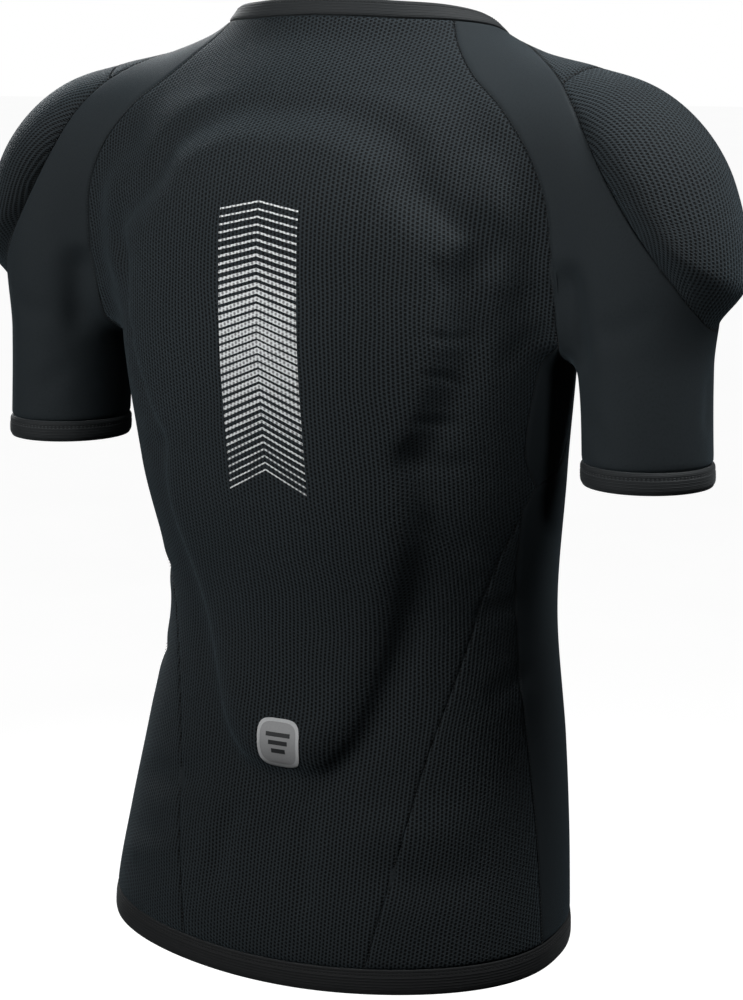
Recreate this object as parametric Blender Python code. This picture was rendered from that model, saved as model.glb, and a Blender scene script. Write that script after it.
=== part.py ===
"""Padded compression shirt, hollow and in its worn form.

A short-sleeved pullover of knitted panels, with a back protector and two shoulder pads under the
cloth. X runs across the wearer with the left side at +X, the front faces -Y, and Z is up. The
origin is at the base of the neck. All sizes are in metres.
"""

from collections import namedtuple
from math import pi, radians

import bmesh
import bpy
import numpy as np

COLLECTION = "padded_compression_shirt"

# Cloth
WALL = 0.0016
BAND_WALL = 0.0024
SEAM_GAP = 0.0005
PAD_GAP = 0.0004

# Heights of the edges, and how far the hem dips behind and rises in front
HEM_SEAM_Z = -0.640
HEM_BAND = 0.019
HEM_DIP = 0.015
CUFF_SEAM_Z = -0.290
CUFF_BAND = 0.016
COLLAR_BAND = 0.013

# How many faces run along each seam, and across each panel
RAGLAN_ROWS = 11
YOKE_ROWS = 4
GUSSET_ROWS = 5
NOTCH_ROWS = 1
SIDE_ROWS = 15
PAD_COLUMNS = 6
FLANK_COLUMNS = 5
FRONT_COLUMNS = 16
SIDE_COLUMNS = 5
UNDERARM_COLUMNS = 5
BAND_COLUMNS = 4
POCKET_COLUMNS = 10
SLEEVE_ROWS = 5
RING_FACES = 64

# The trunk, a row for each level
Section = namedtuple("Section", "z half_width centre_y back front squareness")
TRUNK = (
    Section(-0.720, 0.182, 0.022, 0.106, 0.114, 2.3),
    Section(-0.640, 0.180, 0.020, 0.106, 0.114, 2.3),
    Section(-0.583, 0.174, 0.008, 0.106, 0.110, 2.3),
    Section(-0.515, 0.165, -0.005, 0.102, 0.106, 2.3),
    Section(-0.422, 0.151, -0.018, 0.103, 0.102, 2.3),
    Section(-0.312, 0.163, -0.002, 0.112, 0.112, 2.3),
    Section(-0.177, 0.172, 0.005, 0.120, 0.120, 2.3),
    Section(-0.110, 0.166, 0.004, 0.116, 0.110, 2.2),
    Section(-0.060, 0.148, -0.002, 0.102, 0.098, 2.1),
    Section(-0.025, 0.120, -0.010, 0.086, 0.086, 2.0),
    Section(0.000, 0.100, -0.018, 0.076, 0.076, 2.0),
    Section(0.030, 0.090, -0.024, 0.070, 0.070, 2.0),
    Section(0.060, 0.088, -0.026, 0.068, 0.068, 2.0),
)

# The arm, from inside the neck over the shoulder and down past the cuff
Joint = namedtuple("Joint", "x y z across deep")
ARM = (
    Joint(0.000, -0.018, -0.060, 0.040, 0.044),
    Joint(0.050, -0.018, -0.060, 0.048, 0.054),
    Joint(0.130, -0.006, -0.072, 0.058, 0.062),
    Joint(0.192, 0.002, -0.094, 0.063, 0.064),
    Joint(0.226, 0.007, -0.148, 0.058, 0.060),
    Joint(0.235, 0.011, -0.225, 0.046, 0.051),
    Joint(0.239, 0.013, -0.300, 0.045, 0.047),
    Joint(0.242, 0.014, -0.370, 0.046, 0.048),
)
ARM_STEPS = 56

# How wide the fillet between arm and trunk is, at the shoulder and below the armpit
Fillet = namedtuple("Fillet", "z width")
FILLETS = (
    Fillet(-0.262, 0.008),
    Fillet(-0.236, 0.022),
    Fillet(-0.208, 0.056),
    Fillet(-0.170, 0.066),
    Fillet(-0.120, 0.052),
    Fillet(0.000, 0.045),
)

# The seam under the collar band, a row for each direction from the back round to the front
Neck = namedtuple("Neck", "turn z")
NECKLINE = (
    Neck(0, 0.012),
    Neck(40, 0.010),
    Neck(70, 0.006),
    Neck(95, -0.005),
    Neck(120, -0.022),
    Neck(150, -0.042),
    Neck(180, -0.049),
)
BACK_RAGLAN_TURN = 70
YOKE_BACK_TURN = 104
YOKE_FRONT_TURN = 124
FRONT_RAGLAN_TURN = 142

# The seams on the wearer's left, a row for each place that one passes through
Spot = namedtuple("Spot", "x y z")
BACK_ARMPIT = Spot(0.184, 0.044, -0.209)
FRONT_ARMPIT = Spot(0.184, -0.028, -0.209)
BACK_RAGLAN = (
    Spot(0.101, 0.031, -0.009),
    Spot(0.118, 0.046, -0.028),
    Spot(0.146, 0.057, -0.052),
    Spot(0.169, 0.065, -0.080),
    Spot(0.181, 0.067, -0.108),
    Spot(0.185, 0.062, -0.145),
    Spot(0.185, 0.054, -0.180),
    BACK_ARMPIT,
)
FRONT_RAGLAN = (
    Spot(0.112, -0.078, -0.068),
    Spot(0.146, -0.076, -0.100),
    Spot(0.168, -0.064, -0.135),
    Spot(0.180, -0.050, -0.175),
    FRONT_ARMPIT,
)
UNDERARM = (BACK_ARMPIT, Spot(0.179, 0.022, -0.219), Spot(0.179, -0.006, -0.219), FRONT_ARMPIT)
GUSSET_FOOT = Spot(0.161, 0.024, -0.314)
GUSSET_BACK = (BACK_ARMPIT, Spot(0.173, 0.041, -0.232), Spot(0.165, 0.043, -0.262),
               Spot(0.160, 0.039, -0.292), GUSSET_FOOT)
GUSSET_FRONT = (FRONT_ARMPIT, Spot(0.172, -0.036, -0.238), Spot(0.168, -0.034, -0.268),
                Spot(0.164, -0.014, -0.300), GUSSET_FOOT)
SIDE_TOP = Spot(0.155, 0.036, -0.330)
POCKET_BACK_TOP = Spot(0.180, 0.032, -0.042)
POCKET_BACK_FOOT = Spot(0.259, 0.052, -0.155)
POCKET_FRONT_TOP = Spot(0.182, -0.034, -0.046)
POCKET_FRONT_FOOT = Spot(0.259, -0.038, -0.155)
YOKE_BACK = (Spot(0.136, -0.010, -0.016), Spot(0.158, 0.013, -0.026), POCKET_BACK_TOP)
YOKE_FRONT = (Spot(0.122, -0.056, -0.034), Spot(0.152, -0.048, -0.040), POCKET_FRONT_TOP)
YOKE_FOOT = (POCKET_BACK_TOP, Spot(0.186, 0.000, -0.038), POCKET_FRONT_TOP)
POCKET_BACK = (POCKET_BACK_TOP, Spot(0.195, 0.046, -0.055), Spot(0.216, 0.058, -0.086),
               Spot(0.241, 0.060, -0.125), POCKET_BACK_FOOT)
POCKET_FRONT = (POCKET_FRONT_TOP, Spot(0.195, -0.044, -0.060), Spot(0.216, -0.050, -0.088),
                Spot(0.241, -0.048, -0.126), POCKET_FRONT_FOOT)
POCKET_FOOT = (POCKET_BACK_FOOT, Spot(0.276, 0.036, -0.182), Spot(0.281, 0.006, -0.198),
               Spot(0.276, -0.024, -0.182), POCKET_FRONT_FOOT)
SLEEVE_BACK = (BACK_ARMPIT, Spot(0.218, 0.063, -0.190), POCKET_BACK_FOOT)
SLEEVE_FRONT = (POCKET_FRONT_FOOT, Spot(0.218, -0.050, -0.190), FRONT_ARMPIT)

# The two seams that part the mesh side panel, as directions from the trunk's middle
SideSeam = namedtuple("SideSeam", "z back_turn front_turn")
SIDE_SEAMS = (
    SideSeam(-0.330, 76, 76),
    SideSeam(-0.364, 69, 75),
    SideSeam(-0.430, 60, 76),
    SideSeam(-0.499, 51, 78),
    SideSeam(-0.582, 43, 81),
    SideSeam(-0.650, 37, 83),
)

# The back protector, a row for each level: how far it reaches to each side, and how proud it is
Level = namedtuple("Level", "z half_width rise")
PROTECTOR = (
    Level(0.020, 0.050, 0.0000),
    Level(-0.026, 0.060, 0.0000),
    Level(-0.048, 0.082, 0.0060),
    Level(-0.066, 0.099, 0.0070),
    Level(-0.090, 0.103, 0.0075),
    Level(-0.115, 0.122, 0.0080),
    Level(-0.138, 0.134, 0.0085),
    Level(-0.162, 0.126, 0.0085),
    Level(-0.210, 0.124, 0.0090),
    Level(-0.262, 0.106, 0.0095),
    Level(-0.285, 0.093, 0.0100),
    Level(-0.315, 0.097, 0.0110),
    Level(-0.345, 0.095, 0.0120),
    Level(-0.400, 0.080, 0.0130),
    Level(-0.450, 0.067, 0.0145),
    Level(-0.490, 0.054, 0.0165),
    Level(-0.514, 0.040, 0.0165),
    Level(-0.530, 0.030, 0.0000),
    Level(-0.680, 0.040, 0.0000),
)
PROTECTOR_EDGE = 0.014
PROTECTOR_TOP_ROW = 3
PROTECTOR_TOP_Z = -0.048
PROTECTOR_FOOT_ROW = 26
PROTECTOR_FOOT_Z = -0.514
PROTECTOR_SHARE = 0.72
PAD_BACKING = 0.0050

# The crown over a shoulder pad: how proud it is, and the shares of its height over which it
# rises from the top seam and falls to the foot
POCKET_RISE = 0.017
CROWN_RISE = 0.55
CROWN_FALL = 0.20
CROWN_FLATNESS = 4

# Fineness of the work on the form
SLOPE_STEP = 0.004
PROBE_STEP = 0.0008
SETTLE_ROUNDS = 9
TURN_ROUNDS = 12
SEAM_SAMPLES = 8
SHARPEST_CORNER = 0.15
SHARP_ANGLE = radians(50)

# Materials: colour, roughness
Finish = namedtuple("Finish", "color roughness")
MESH_KNIT = Finish((0.016, 0.019, 0.021, 1), 0.85)
SMOOTH_KNIT = Finish((0.009, 0.010, 0.012, 1), 0.62)
BAND_KNIT = Finish((0.012, 0.014, 0.016, 1), 0.75)
PAD_FOAM = Finish((0.020, 0.020, 0.022, 1), 0.90)


def curve_through(knots, values):
    """A smooth function through the given values, one row for each knot."""
    knots = np.asarray(knots, float)
    values = np.asarray(values, float)
    slopes = np.gradient(values, knots, axis=0)

    def at(place):
        place = np.clip(place, knots[0], knots[-1])
        i = np.clip(np.searchsorted(knots, place) - 1, 0, len(knots) - 2)
        step = knots[i + 1] - knots[i]
        t = (place - knots[i]) / step
        if values.ndim > 1:
            t = t[..., None]
            step = step[..., None]
        start = values[i] * (1 + 2 * t) * (1 - t) ** 2 + slopes[i] * step * t * (1 - t) ** 2
        end = values[i + 1] * t * t * (3 - 2 * t) + slopes[i + 1] * step * t * t * (t - 1)
        return start + end

    return at


def smooth_step(x):
    x = np.clip(x, 0, 1)
    return x * x * (3 - 2 * x)


def unit(vectors):
    return vectors / np.maximum(np.linalg.norm(vectors, axis=-1, keepdims=True), 1e-12)


trunk_at = curve_through([s.z for s in TRUNK], [s[1:] for s in TRUNK])
fillet_at = curve_through([f.z for f in FILLETS], [f.width for f in FILLETS])
neck_z_at = curve_through([n.turn for n in NECKLINE], [n.z for n in NECKLINE])
protector_at = curve_through([v.z for v in reversed(PROTECTOR)], [v[1:] for v in reversed(PROTECTOR)])
arm_knots = np.r_[0, np.cumsum([np.linalg.norm(np.subtract(b[:3], a[:3])) for a, b in zip(ARM, ARM[1:])])]
arm_at = curve_through(arm_knots, ARM)
arm_along = np.linspace(0, arm_knots[-1], ARM_STEPS)
arm_line = arm_at(arm_along)[:, :3]


def trunk_reach(turn, z):
    """How far the trunk's surface is from its middle line, level with z."""
    half, _, back, front, square = np.moveaxis(trunk_at(z), -1, 0)
    depth = np.where(np.cos(turn) > 0, back, front)
    share = np.abs(np.sin(turn) / half) ** square + np.abs(np.cos(turn) / depth) ** square
    return share ** (-1 / square)


def trunk_point(turn, z):
    centre = trunk_at(z)[..., 1]
    reach = trunk_reach(turn, z)
    return np.stack([reach * np.sin(turn), centre + reach * np.cos(turn), z + 0 * turn], -1)


def turn_of(points):
    """The direction of points from the trunk's middle line, from the back round by the left."""
    turn = np.arctan2(points[..., 0], points[..., 1] - trunk_at(points[..., 2])[..., 1])
    return np.where(turn < 0, turn + 2 * pi, turn)


def trunk_gap(points):
    """The distance outside the trunk."""
    x, y, z = np.moveaxis(points, -1, 0)
    dy = y - trunk_at(z)[..., 1]
    turn = np.arctan2(x, dy)
    above = trunk_reach(turn, z + SLOPE_STEP)
    below = trunk_reach(turn, z - SLOPE_STEP)
    slope = (above - below) / (2 * SLOPE_STEP)
    return (np.hypot(x, dy) - trunk_reach(turn, z)) / np.sqrt(1 + slope**2)


def arm_gap(points):
    """The distance outside the arm on the points' own side."""
    flat = points.reshape(-1, 3)
    flat = np.column_stack([np.abs(flat[:, 0]), flat[:, 1:]])
    runs = np.diff(arm_line, axis=0)
    share = np.einsum("nsk,sk->ns", flat[:, None] - arm_line[:-1], runs) / (runs * runs).sum(1)
    share = np.clip(share, 0, 1)
    feet = arm_line[:-1] + share[..., None] * runs
    nearest = np.linalg.norm(flat[:, None] - feet, axis=2).argmin(1)
    rows = np.arange(len(flat))
    run = unit(runs[nearest])
    away = flat - feet[rows, nearest]
    along = arm_along[nearest] + share[rows, nearest] * arm_along[1]
    across = away[:, 0] * -run[:, 2] + away[:, 2] * run[:, 0]
    radii = arm_at(along)[:, 3:]
    far = np.linalg.norm(away, axis=1)
    part = np.hypot(across / radii[:, 0], away[:, 1] / radii[:, 1])
    part = np.maximum(part, far / radii.max(1))
    return (far - far / np.maximum(part, 1e-6)).reshape(points.shape[:-1])


def body_gap(points):
    """The distance outside the worn form, of trunk and arms joined by a fillet."""
    trunk = trunk_gap(points)
    arm = arm_gap(points)
    width = fillet_at(points[..., 2])
    near = np.maximum(width - np.abs(trunk - arm), 0) / width
    return np.minimum(trunk, arm) - near * near * width / 4


def outward(points):
    """How fast the distance from the form grows along X, Y and Z."""
    sides = [body_gap(points + d) - body_gap(points - d) for d in np.eye(3) * PROBE_STEP]
    return np.stack(sides, -1) / (2 * PROBE_STEP)


def settle(points):
    """Points moved onto the form by the shortest way."""
    points = np.array(points, float)
    for _ in range(SETTLE_ROUNDS):
        slope = outward(points)
        points -= slope * (body_gap(points) / np.maximum((slope * slope).sum(-1), 0.2))[..., None]
    return points


def seam(spots, faces):
    """Evenly spaced points along a smooth line through the spots, on the form."""
    spots = np.array(spots, float)
    lengths = np.r_[0, np.cumsum(np.linalg.norm(np.diff(spots, axis=0), axis=1))]
    line = settle(curve_through(lengths, spots)(np.linspace(0, lengths[-1], SEAM_SAMPLES * faces + 1)))
    lengths = np.r_[0, np.cumsum(np.linalg.norm(np.diff(line, axis=0), axis=1))]
    places = np.linspace(0, lengths[-1], faces + 1)
    return settle(np.column_stack([np.interp(places, lengths, line[:, k]) for k in range(3)]))


def neckline(turns):
    """Points of the seam under the collar, in the given directions in radians."""
    turns = np.asarray(turns, float)
    folded = np.degrees(np.abs((turns + pi) % (2 * pi) - pi))
    return settle(trunk_point(turns, neck_z_at(folded)))


def hem_z(turns):
    return HEM_SEAM_Z - HEM_DIP * np.cos(turns)


def hem_seam(turns):
    return settle(trunk_point(turns, hem_z(turns)))


def spread(top, foot, left, right):
    """A grid of points between four edges that meet at their ends."""
    v = np.linspace(0, 1, len(left))[:, None, None]
    u = np.linspace(0, 1, len(top))[None, :, None]
    across = (1 - v) * top + v * foot
    down = (1 - u) * left[:, None] + u * right[:, None]
    corners = (1 - v) * ((1 - u) * top[0] + u * top[-1]) + v * ((1 - u) * foot[0] + u * foot[-1])
    return across + down - corners


def keep_edges(grid, top, foot, left, right):
    grid[0] = top
    grid[-1] = foot
    grid[:, 0] = left
    grid[:, -1] = right
    return grid


def patch(top, foot, left, right):
    """A grid on the form between four seams."""
    return keep_edges(settle(spread(top, foot, left, right)), top, foot, left, right)


def trunk_patch(turns, zs, top, foot, left, right):
    """A grid on the trunk, from its directions and levels, that ends in four seams."""
    return keep_edges(settle(trunk_point(turns, zs)), top, foot, left, right)


def mirrored(points):
    return points * [-1, 1, 1]


def side_seam(column, faces):
    """The line from the top of the side panel down one of its edges, to the hem."""
    at = curve_through([s.z for s in reversed(SIDE_SEAMS)], [s[column] for s in reversed(SIDE_SEAMS)])
    foot_turn = radians(float(at(HEM_SEAM_Z)))
    zs = np.linspace(SIDE_TOP.z, float(hem_z(foot_turn)), faces + 1)
    line = settle(trunk_point(np.radians(at(zs)), zs))
    line[-1] = hem_seam(np.array([radians(float(at(hem_z(foot_turn))))]))[0]
    return line


def seam_lines():
    """Every seam on the wearer's left, shared by the panels on both sides of it."""
    side_top = settle(np.array([SIDE_TOP]))[0]
    foot = settle(np.array([GUSSET_FOOT]))[0]
    corner = {
        "back": neckline([radians(BACK_RAGLAN_TURN)])[0],
        "yoke_back": neckline([radians(YOKE_BACK_TURN)])[0],
        "yoke_front": neckline([radians(YOKE_FRONT_TURN)])[0],
        "front": neckline([radians(FRONT_RAGLAN_TURN)])[0],
    }
    lines = {
        "back_raglan": seam((corner["back"], *BACK_RAGLAN), RAGLAN_ROWS),
        "front_raglan": seam((corner["front"], *FRONT_RAGLAN), RAGLAN_ROWS),
        "underarm": seam(UNDERARM, UNDERARM_COLUMNS),
        "gusset_back": seam(GUSSET_BACK, GUSSET_ROWS),
        "gusset_front": seam(GUSSET_FRONT, GUSSET_ROWS),
        "notch": seam((foot, side_top), NOTCH_ROWS),
        "side_back": side_seam(1, SIDE_ROWS),
        "side_front": side_seam(2, SIDE_ROWS),
        "yoke_back": seam((corner["yoke_back"], *YOKE_BACK), YOKE_ROWS),
        "yoke_front": seam((corner["yoke_front"], *YOKE_FRONT), YOKE_ROWS),
        "yoke_foot": seam(YOKE_FOOT, POCKET_COLUMNS),
        "pocket_back": seam(POCKET_BACK, RAGLAN_ROWS - YOKE_ROWS),
        "pocket_front": seam(POCKET_FRONT, RAGLAN_ROWS - YOKE_ROWS),
        "pocket_foot": seam(POCKET_FOOT, POCKET_COLUMNS),
        "sleeve_back": seam(SLEEVE_BACK, BAND_COLUMNS),
        "sleeve_front": seam(SLEEVE_FRONT, BAND_COLUMNS),
    }
    for name in ("side_back", "side_front"):
        lines[name][0] = side_top
    lines["notch"][-1] = side_top
    for name in ("gusset_back", "gusset_front"):
        lines[name][-1] = foot
    lines["notch"][0] = foot
    return lines


def down(*lines):
    """Seams joined end to end."""
    return np.concatenate([lines[0]] + [line[1:] for line in lines[1:]])


def protector_turn(z):
    """The direction of the protector's edge on the trunk, for each level."""
    half_width = protector_at(z)[..., 0] - PROTECTOR_EDGE / 2
    turn = np.full(np.shape(z), 0.5)
    for _ in range(TURN_ROUNDS):
        turn = np.arcsin(np.clip(half_width / trunk_reach(turn, z), 0, 0.97))
    return turn


def back_grid(lines):
    """The back panel's points, whose columns follow the protector's edge, and their rise."""
    edge = down(lines["back_raglan"], lines["gusset_back"], lines["notch"], lines["side_back"])
    edge_turn = turn_of(edge)
    edge_z = edge[:, 2]
    rows = [0, PROTECTOR_TOP_ROW - 1, PROTECTOR_TOP_ROW,
            PROTECTOR_FOOT_ROW, PROTECTOR_FOOT_ROW + 1, len(edge) - 1]
    levels = [NECKLINE[0].z, PROTECTOR_TOP_Z + PROTECTOR_EDGE, PROTECTOR_TOP_Z,
              PROTECTOR_FOOT_Z, PROTECTOR_FOOT_Z - PROTECTOR_EDGE, float(hem_z(0.0))]
    middle_z = np.interp(np.arange(len(edge)), rows, levels)
    pad_turn = np.minimum(protector_turn(middle_z), PROTECTOR_SHARE * edge_turn)
    ramp = PROTECTOR_EDGE / trunk_reach(pad_turn, middle_z)
    half = []
    for turn_end, turn_pad, turn_ramp in zip(edge_turn, pad_turn, ramp):
        pad = np.linspace(0, turn_pad, PAD_COLUMNS + 1)
        flank = np.linspace(turn_pad + turn_ramp, turn_end, FLANK_COLUMNS + 1)
        half.append(np.r_[pad, flank])
    half = np.array(half)
    turns = np.hstack([-half[:, :0:-1], half])
    share = (turns / edge_turn[:, None]) ** 2
    zs = middle_z[:, None] + (edge_z - middle_z)[:, None] * share
    grid = trunk_patch(turns, zs, neckline(turns[0]), hem_seam(turns[-1]), mirrored(edge), edge)
    rise = protector_at(zs)[..., 1].clip(0)
    rise[:, : FLANK_COLUMNS + 1] = 0
    rise[:, -FLANK_COLUMNS - 1:] = 0
    return grid, rise


def front_grid(lines):
    edge = down(lines["front_raglan"], lines["gusset_front"], lines["notch"], lines["side_front"])
    edge_turn = turn_of(edge)
    edge_z = edge[:, 2]
    middle_z = np.interp(edge_z, [edge_z[-1], edge_z[0]], [float(hem_z(pi)), NECKLINE[-1].z])
    u = np.linspace(-1, 1, FRONT_COLUMNS + 1)
    turns = pi + (pi - edge_turn)[:, None] * u
    zs = middle_z[:, None] + (edge_z - middle_z)[:, None] * u**2
    return trunk_patch(turns, zs, neckline(turns[0]), hem_seam(turns[-1]), edge, mirrored(edge))


def side_grid(lines):
    near, far = lines["side_back"], lines["side_front"]
    u = np.linspace(0, 1, SIDE_COLUMNS + 1)
    turns = turn_of(near)[:, None] * (1 - u) + turn_of(far)[:, None] * u
    zs = near[:, None, 2] * (1 - u) + far[:, None, 2] * u
    top = np.repeat(near[:1], SIDE_COLUMNS + 1, axis=0)
    return trunk_patch(turns, zs, top, hem_seam(turns[-1]), near, far)


def gusset_grid(lines):
    near, far = lines["gusset_back"], lines["gusset_front"]
    foot = np.repeat(near[-1:], UNDERARM_COLUMNS + 1, axis=0)
    return patch(lines["underarm"], foot, near, far)


def neck_run(start, end, faces):
    return neckline(np.radians(np.linspace(start, end, faces + 1)))


def yoke_grid(lines):
    top = neck_run(YOKE_BACK_TURN, YOKE_FRONT_TURN, POCKET_COLUMNS)
    return patch(top, lines["yoke_foot"], lines["yoke_back"], lines["yoke_front"])


def pocket_grid(lines):
    """The pocket over the shoulder pad, and how proud its crown stands."""
    grid = patch(lines["yoke_foot"], lines["pocket_foot"], lines["pocket_back"], lines["pocket_front"])
    down_share = np.linspace(0, 1, len(grid))[:, None]
    across_share = np.linspace(-1, 1, POCKET_COLUMNS + 1)[None]
    rising = smooth_step(down_share / CROWN_RISE)
    falling = smooth_step((1 - down_share) / CROWN_FALL)
    crown = POCKET_RISE * rising * falling * (1 - np.abs(across_share) ** CROWN_FLATNESS)
    return grid, crown


def arm_ring(z, turns):
    """Points round the sleeve, level with z; a turn of zero is on its outer side."""
    place = np.interp(-z, -arm_line[:, 2], arm_along)
    x, y, _, across, deep = arm_at(place)
    ring = np.column_stack([x + across * np.cos(turns), y + deep * np.sin(turns), z + 0 * turns])
    ring = settle(ring)
    ring[:, 2] = z
    return ring


def sleeve_grids(lines):
    """The sleeve's two bands over the shoulder, and the tube below them that ends at the cuff."""
    top_back = neck_run(BACK_RAGLAN_TURN, YOKE_BACK_TURN, BAND_COLUMNS)
    top_front = neck_run(YOKE_FRONT_TURN, FRONT_RAGLAN_TURN, BAND_COLUMNS)
    yoke_back = down(lines["yoke_back"], lines["pocket_back"])
    yoke_front = down(lines["yoke_front"], lines["pocket_front"])
    back = patch(top_back, lines["sleeve_back"], lines["back_raglan"], yoke_back)
    front = patch(top_front, lines["sleeve_front"], yoke_front, lines["front_raglan"])
    head = down(lines["sleeve_back"], lines["pocket_foot"], lines["sleeve_front"], lines["underarm"][::-1])
    middle = np.array([ARM[-3].x, ARM[-3].y])
    turns = np.unwrap(np.arctan2(head[:-1, 1] - middle[1], head[:-1, 0] - middle[0]))
    even = turns[0] + np.linspace(0, -2 * pi, len(turns), endpoint=False)
    turns = 0.5 * turns + 0.5 * even
    cuff = arm_ring(CUFF_SEAM_Z, turns)
    cuff = np.vstack([cuff, cuff[:1]])
    v = np.linspace(0, 1, SLEEVE_ROWS + 1)[:, None, None]
    tube = settle(head * (1 - v) + cuff * v)
    tube[0] = head
    tube[-1] = cuff
    tube[:, -1] = tube[:, 0]
    return back, front, tube, turns


def cuff_grid(turns):
    zs = np.linspace(CUFF_SEAM_Z, CUFF_SEAM_Z - CUFF_BAND, 3)
    rings = np.array([arm_ring(z, turns) for z in zs])
    return np.concatenate([rings, rings[:, :1]], axis=1)


def hem_grid():
    turns = np.linspace(0, 2 * pi, RING_FACES + 1)
    drops = np.linspace(0, HEM_BAND, 3)
    grid = np.array([settle(trunk_point(turns, hem_z(turns) - drop)) for drop in drops])
    grid[:, -1] = grid[:, 0]
    return grid


def collar_grid():
    turns = np.linspace(0, 2 * pi, RING_FACES + 1)
    foot = neckline(turns)
    out = unit(outward(foot))
    up = unit(np.array([0, 0, 1.0]) - out * out[:, 2:])
    grid = np.array([settle(foot + up * rise) for rise in np.linspace(COLLAR_BAND, 0, 3)])
    grid[:, -1] = grid[:, 0]
    return grid


def sheet(*grids):
    """Grids of points joined into one sheet: its points, its triangles and their rise."""
    places = {}
    points = []
    lifts = []
    faces = []
    for grid, rise in grids:
        rows, columns = grid.shape[:2]
        index = np.zeros((rows, columns), int)
        for i in range(rows):
            for j in range(columns):
                key = tuple(np.round(grid[i, j], 6))
                if key not in places:
                    places[key] = len(points)
                    points.append(grid[i, j])
                    lifts.append(rise[i, j])
                index[i, j] = places[key]
        for i in range(rows - 1):
            for j in range(columns - 1):
                a, b, c, d = index[i, j], index[i, j + 1], index[i + 1, j + 1], index[i + 1, j]
                falling = np.linalg.norm(grid[i, j] - grid[i + 1, j + 1])
                rising = np.linalg.norm(grid[i, j + 1] - grid[i + 1, j])
                pair = ((a, c, b), (a, d, c)) if falling < rising else ((a, d, b), (b, d, c))
                faces += [face for face in pair if len(set(face)) == 3]
    return np.array(points), faces, np.array(lifts)


def rim_edges(faces):
    """The directed edges that belong to one triangle only, with that triangle's third point."""
    edges = {}
    for a, b, c in faces:
        edges.update({(a, b): c, (b, c): a, (c, a): b})
    return [(a, b, c) for (a, b), c in edges.items() if (b, a) not in edges]


def drawn_in(points, faces):
    """The sheet's points, with its edge drawn in by half a seam gap."""
    sides = {}
    for a, b, c in rim_edges(faces):
        along = unit(points[b] - points[a])
        inward = points[c] - points[a]
        inward = unit(inward - along * (inward @ along))
        sides.setdefault(a, []).append(inward)
        sides.setdefault(b, []).append(inward)
    moved = points.copy()
    for corner, (first, second) in sides.items():
        moved[corner] += SEAM_GAP / 2 * (first + second) / max(1 + first @ second, SHARPEST_CORNER)
    return moved


def material(name, finish):
    made = bpy.data.materials.get(name) or bpy.data.materials.new(name)
    made.use_nodes = True
    shader = made.node_tree.nodes["Principled BSDF"]
    shader.inputs["Base Color"].default_value = finish.color
    shader.inputs["Roughness"].default_value = finish.roughness
    made.diffuse_color = finish.color
    return made


def closed_wall(name, outer, inner, faces, finish):
    """An object whose skin is two matching sheets, joined round their edges."""
    bm = bmesh.new()
    top = [bm.verts.new(p) for p in outer]
    under = [bm.verts.new(p) for p in inner]
    for face in faces:
        bm.faces.new([top[i] for i in face])
        bm.faces.new([under[i] for i in reversed(face)])
    for a, b, _ in rim_edges(faces):
        if np.linalg.norm(outer[b] - inner[a]) < np.linalg.norm(outer[a] - inner[b]):
            pair = ((top[b], top[a], under[a]), (top[b], under[a], under[b]))
        else:
            pair = ((top[b], top[a], under[b]), (top[a], under[a], under[b]))
        for face in pair:
            bm.faces.new(face)
    bmesh.ops.recalc_face_normals(bm, faces=bm.faces)
    mesh = bpy.data.meshes.new(name)
    bm.to_mesh(mesh)
    bm.free()
    mesh.shade_smooth()
    mesh.set_sharp_from_angle(angle=SHARP_ANGLE)
    mesh.materials.append(material(*finish))
    piece = bpy.data.objects.new(name, mesh)
    bpy.data.collections[COLLECTION].objects.link(piece)
    return piece


def cloth(name, grids, finish, wall=WALL):
    """A panel of cloth: its outer face follows the form and any padding under it."""
    points, faces, rise = sheet(*grids)
    points = drawn_in(points, faces)
    out = unit(outward(points))
    outer = points + out * rise[:, None]
    return closed_wall(name, outer, outer - out * wall, faces, finish)


def pad(name, grids, finish):
    """A pad just inside a panel's points, flat against the form on its inner side."""
    points, faces, rise = sheet(*grids)
    out = unit(outward(points))
    outer = points + out * (rise - WALL - PAD_GAP)[:, None]
    inner = points - out * PAD_BACKING
    return closed_wall(name, outer, inner, faces, finish)


def flat(grid):
    return grid, np.zeros(grid.shape[:2])


def both_sides(make, name, grids, *details):
    """The same piece on the wearer's left, and mirrored on the right."""
    make(f"{name}_left", grids, *details)
    make(f"{name}_right", [(mirrored(points)[:, ::-1], rise[:, ::-1]) for points, rise in grids], *details)


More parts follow.
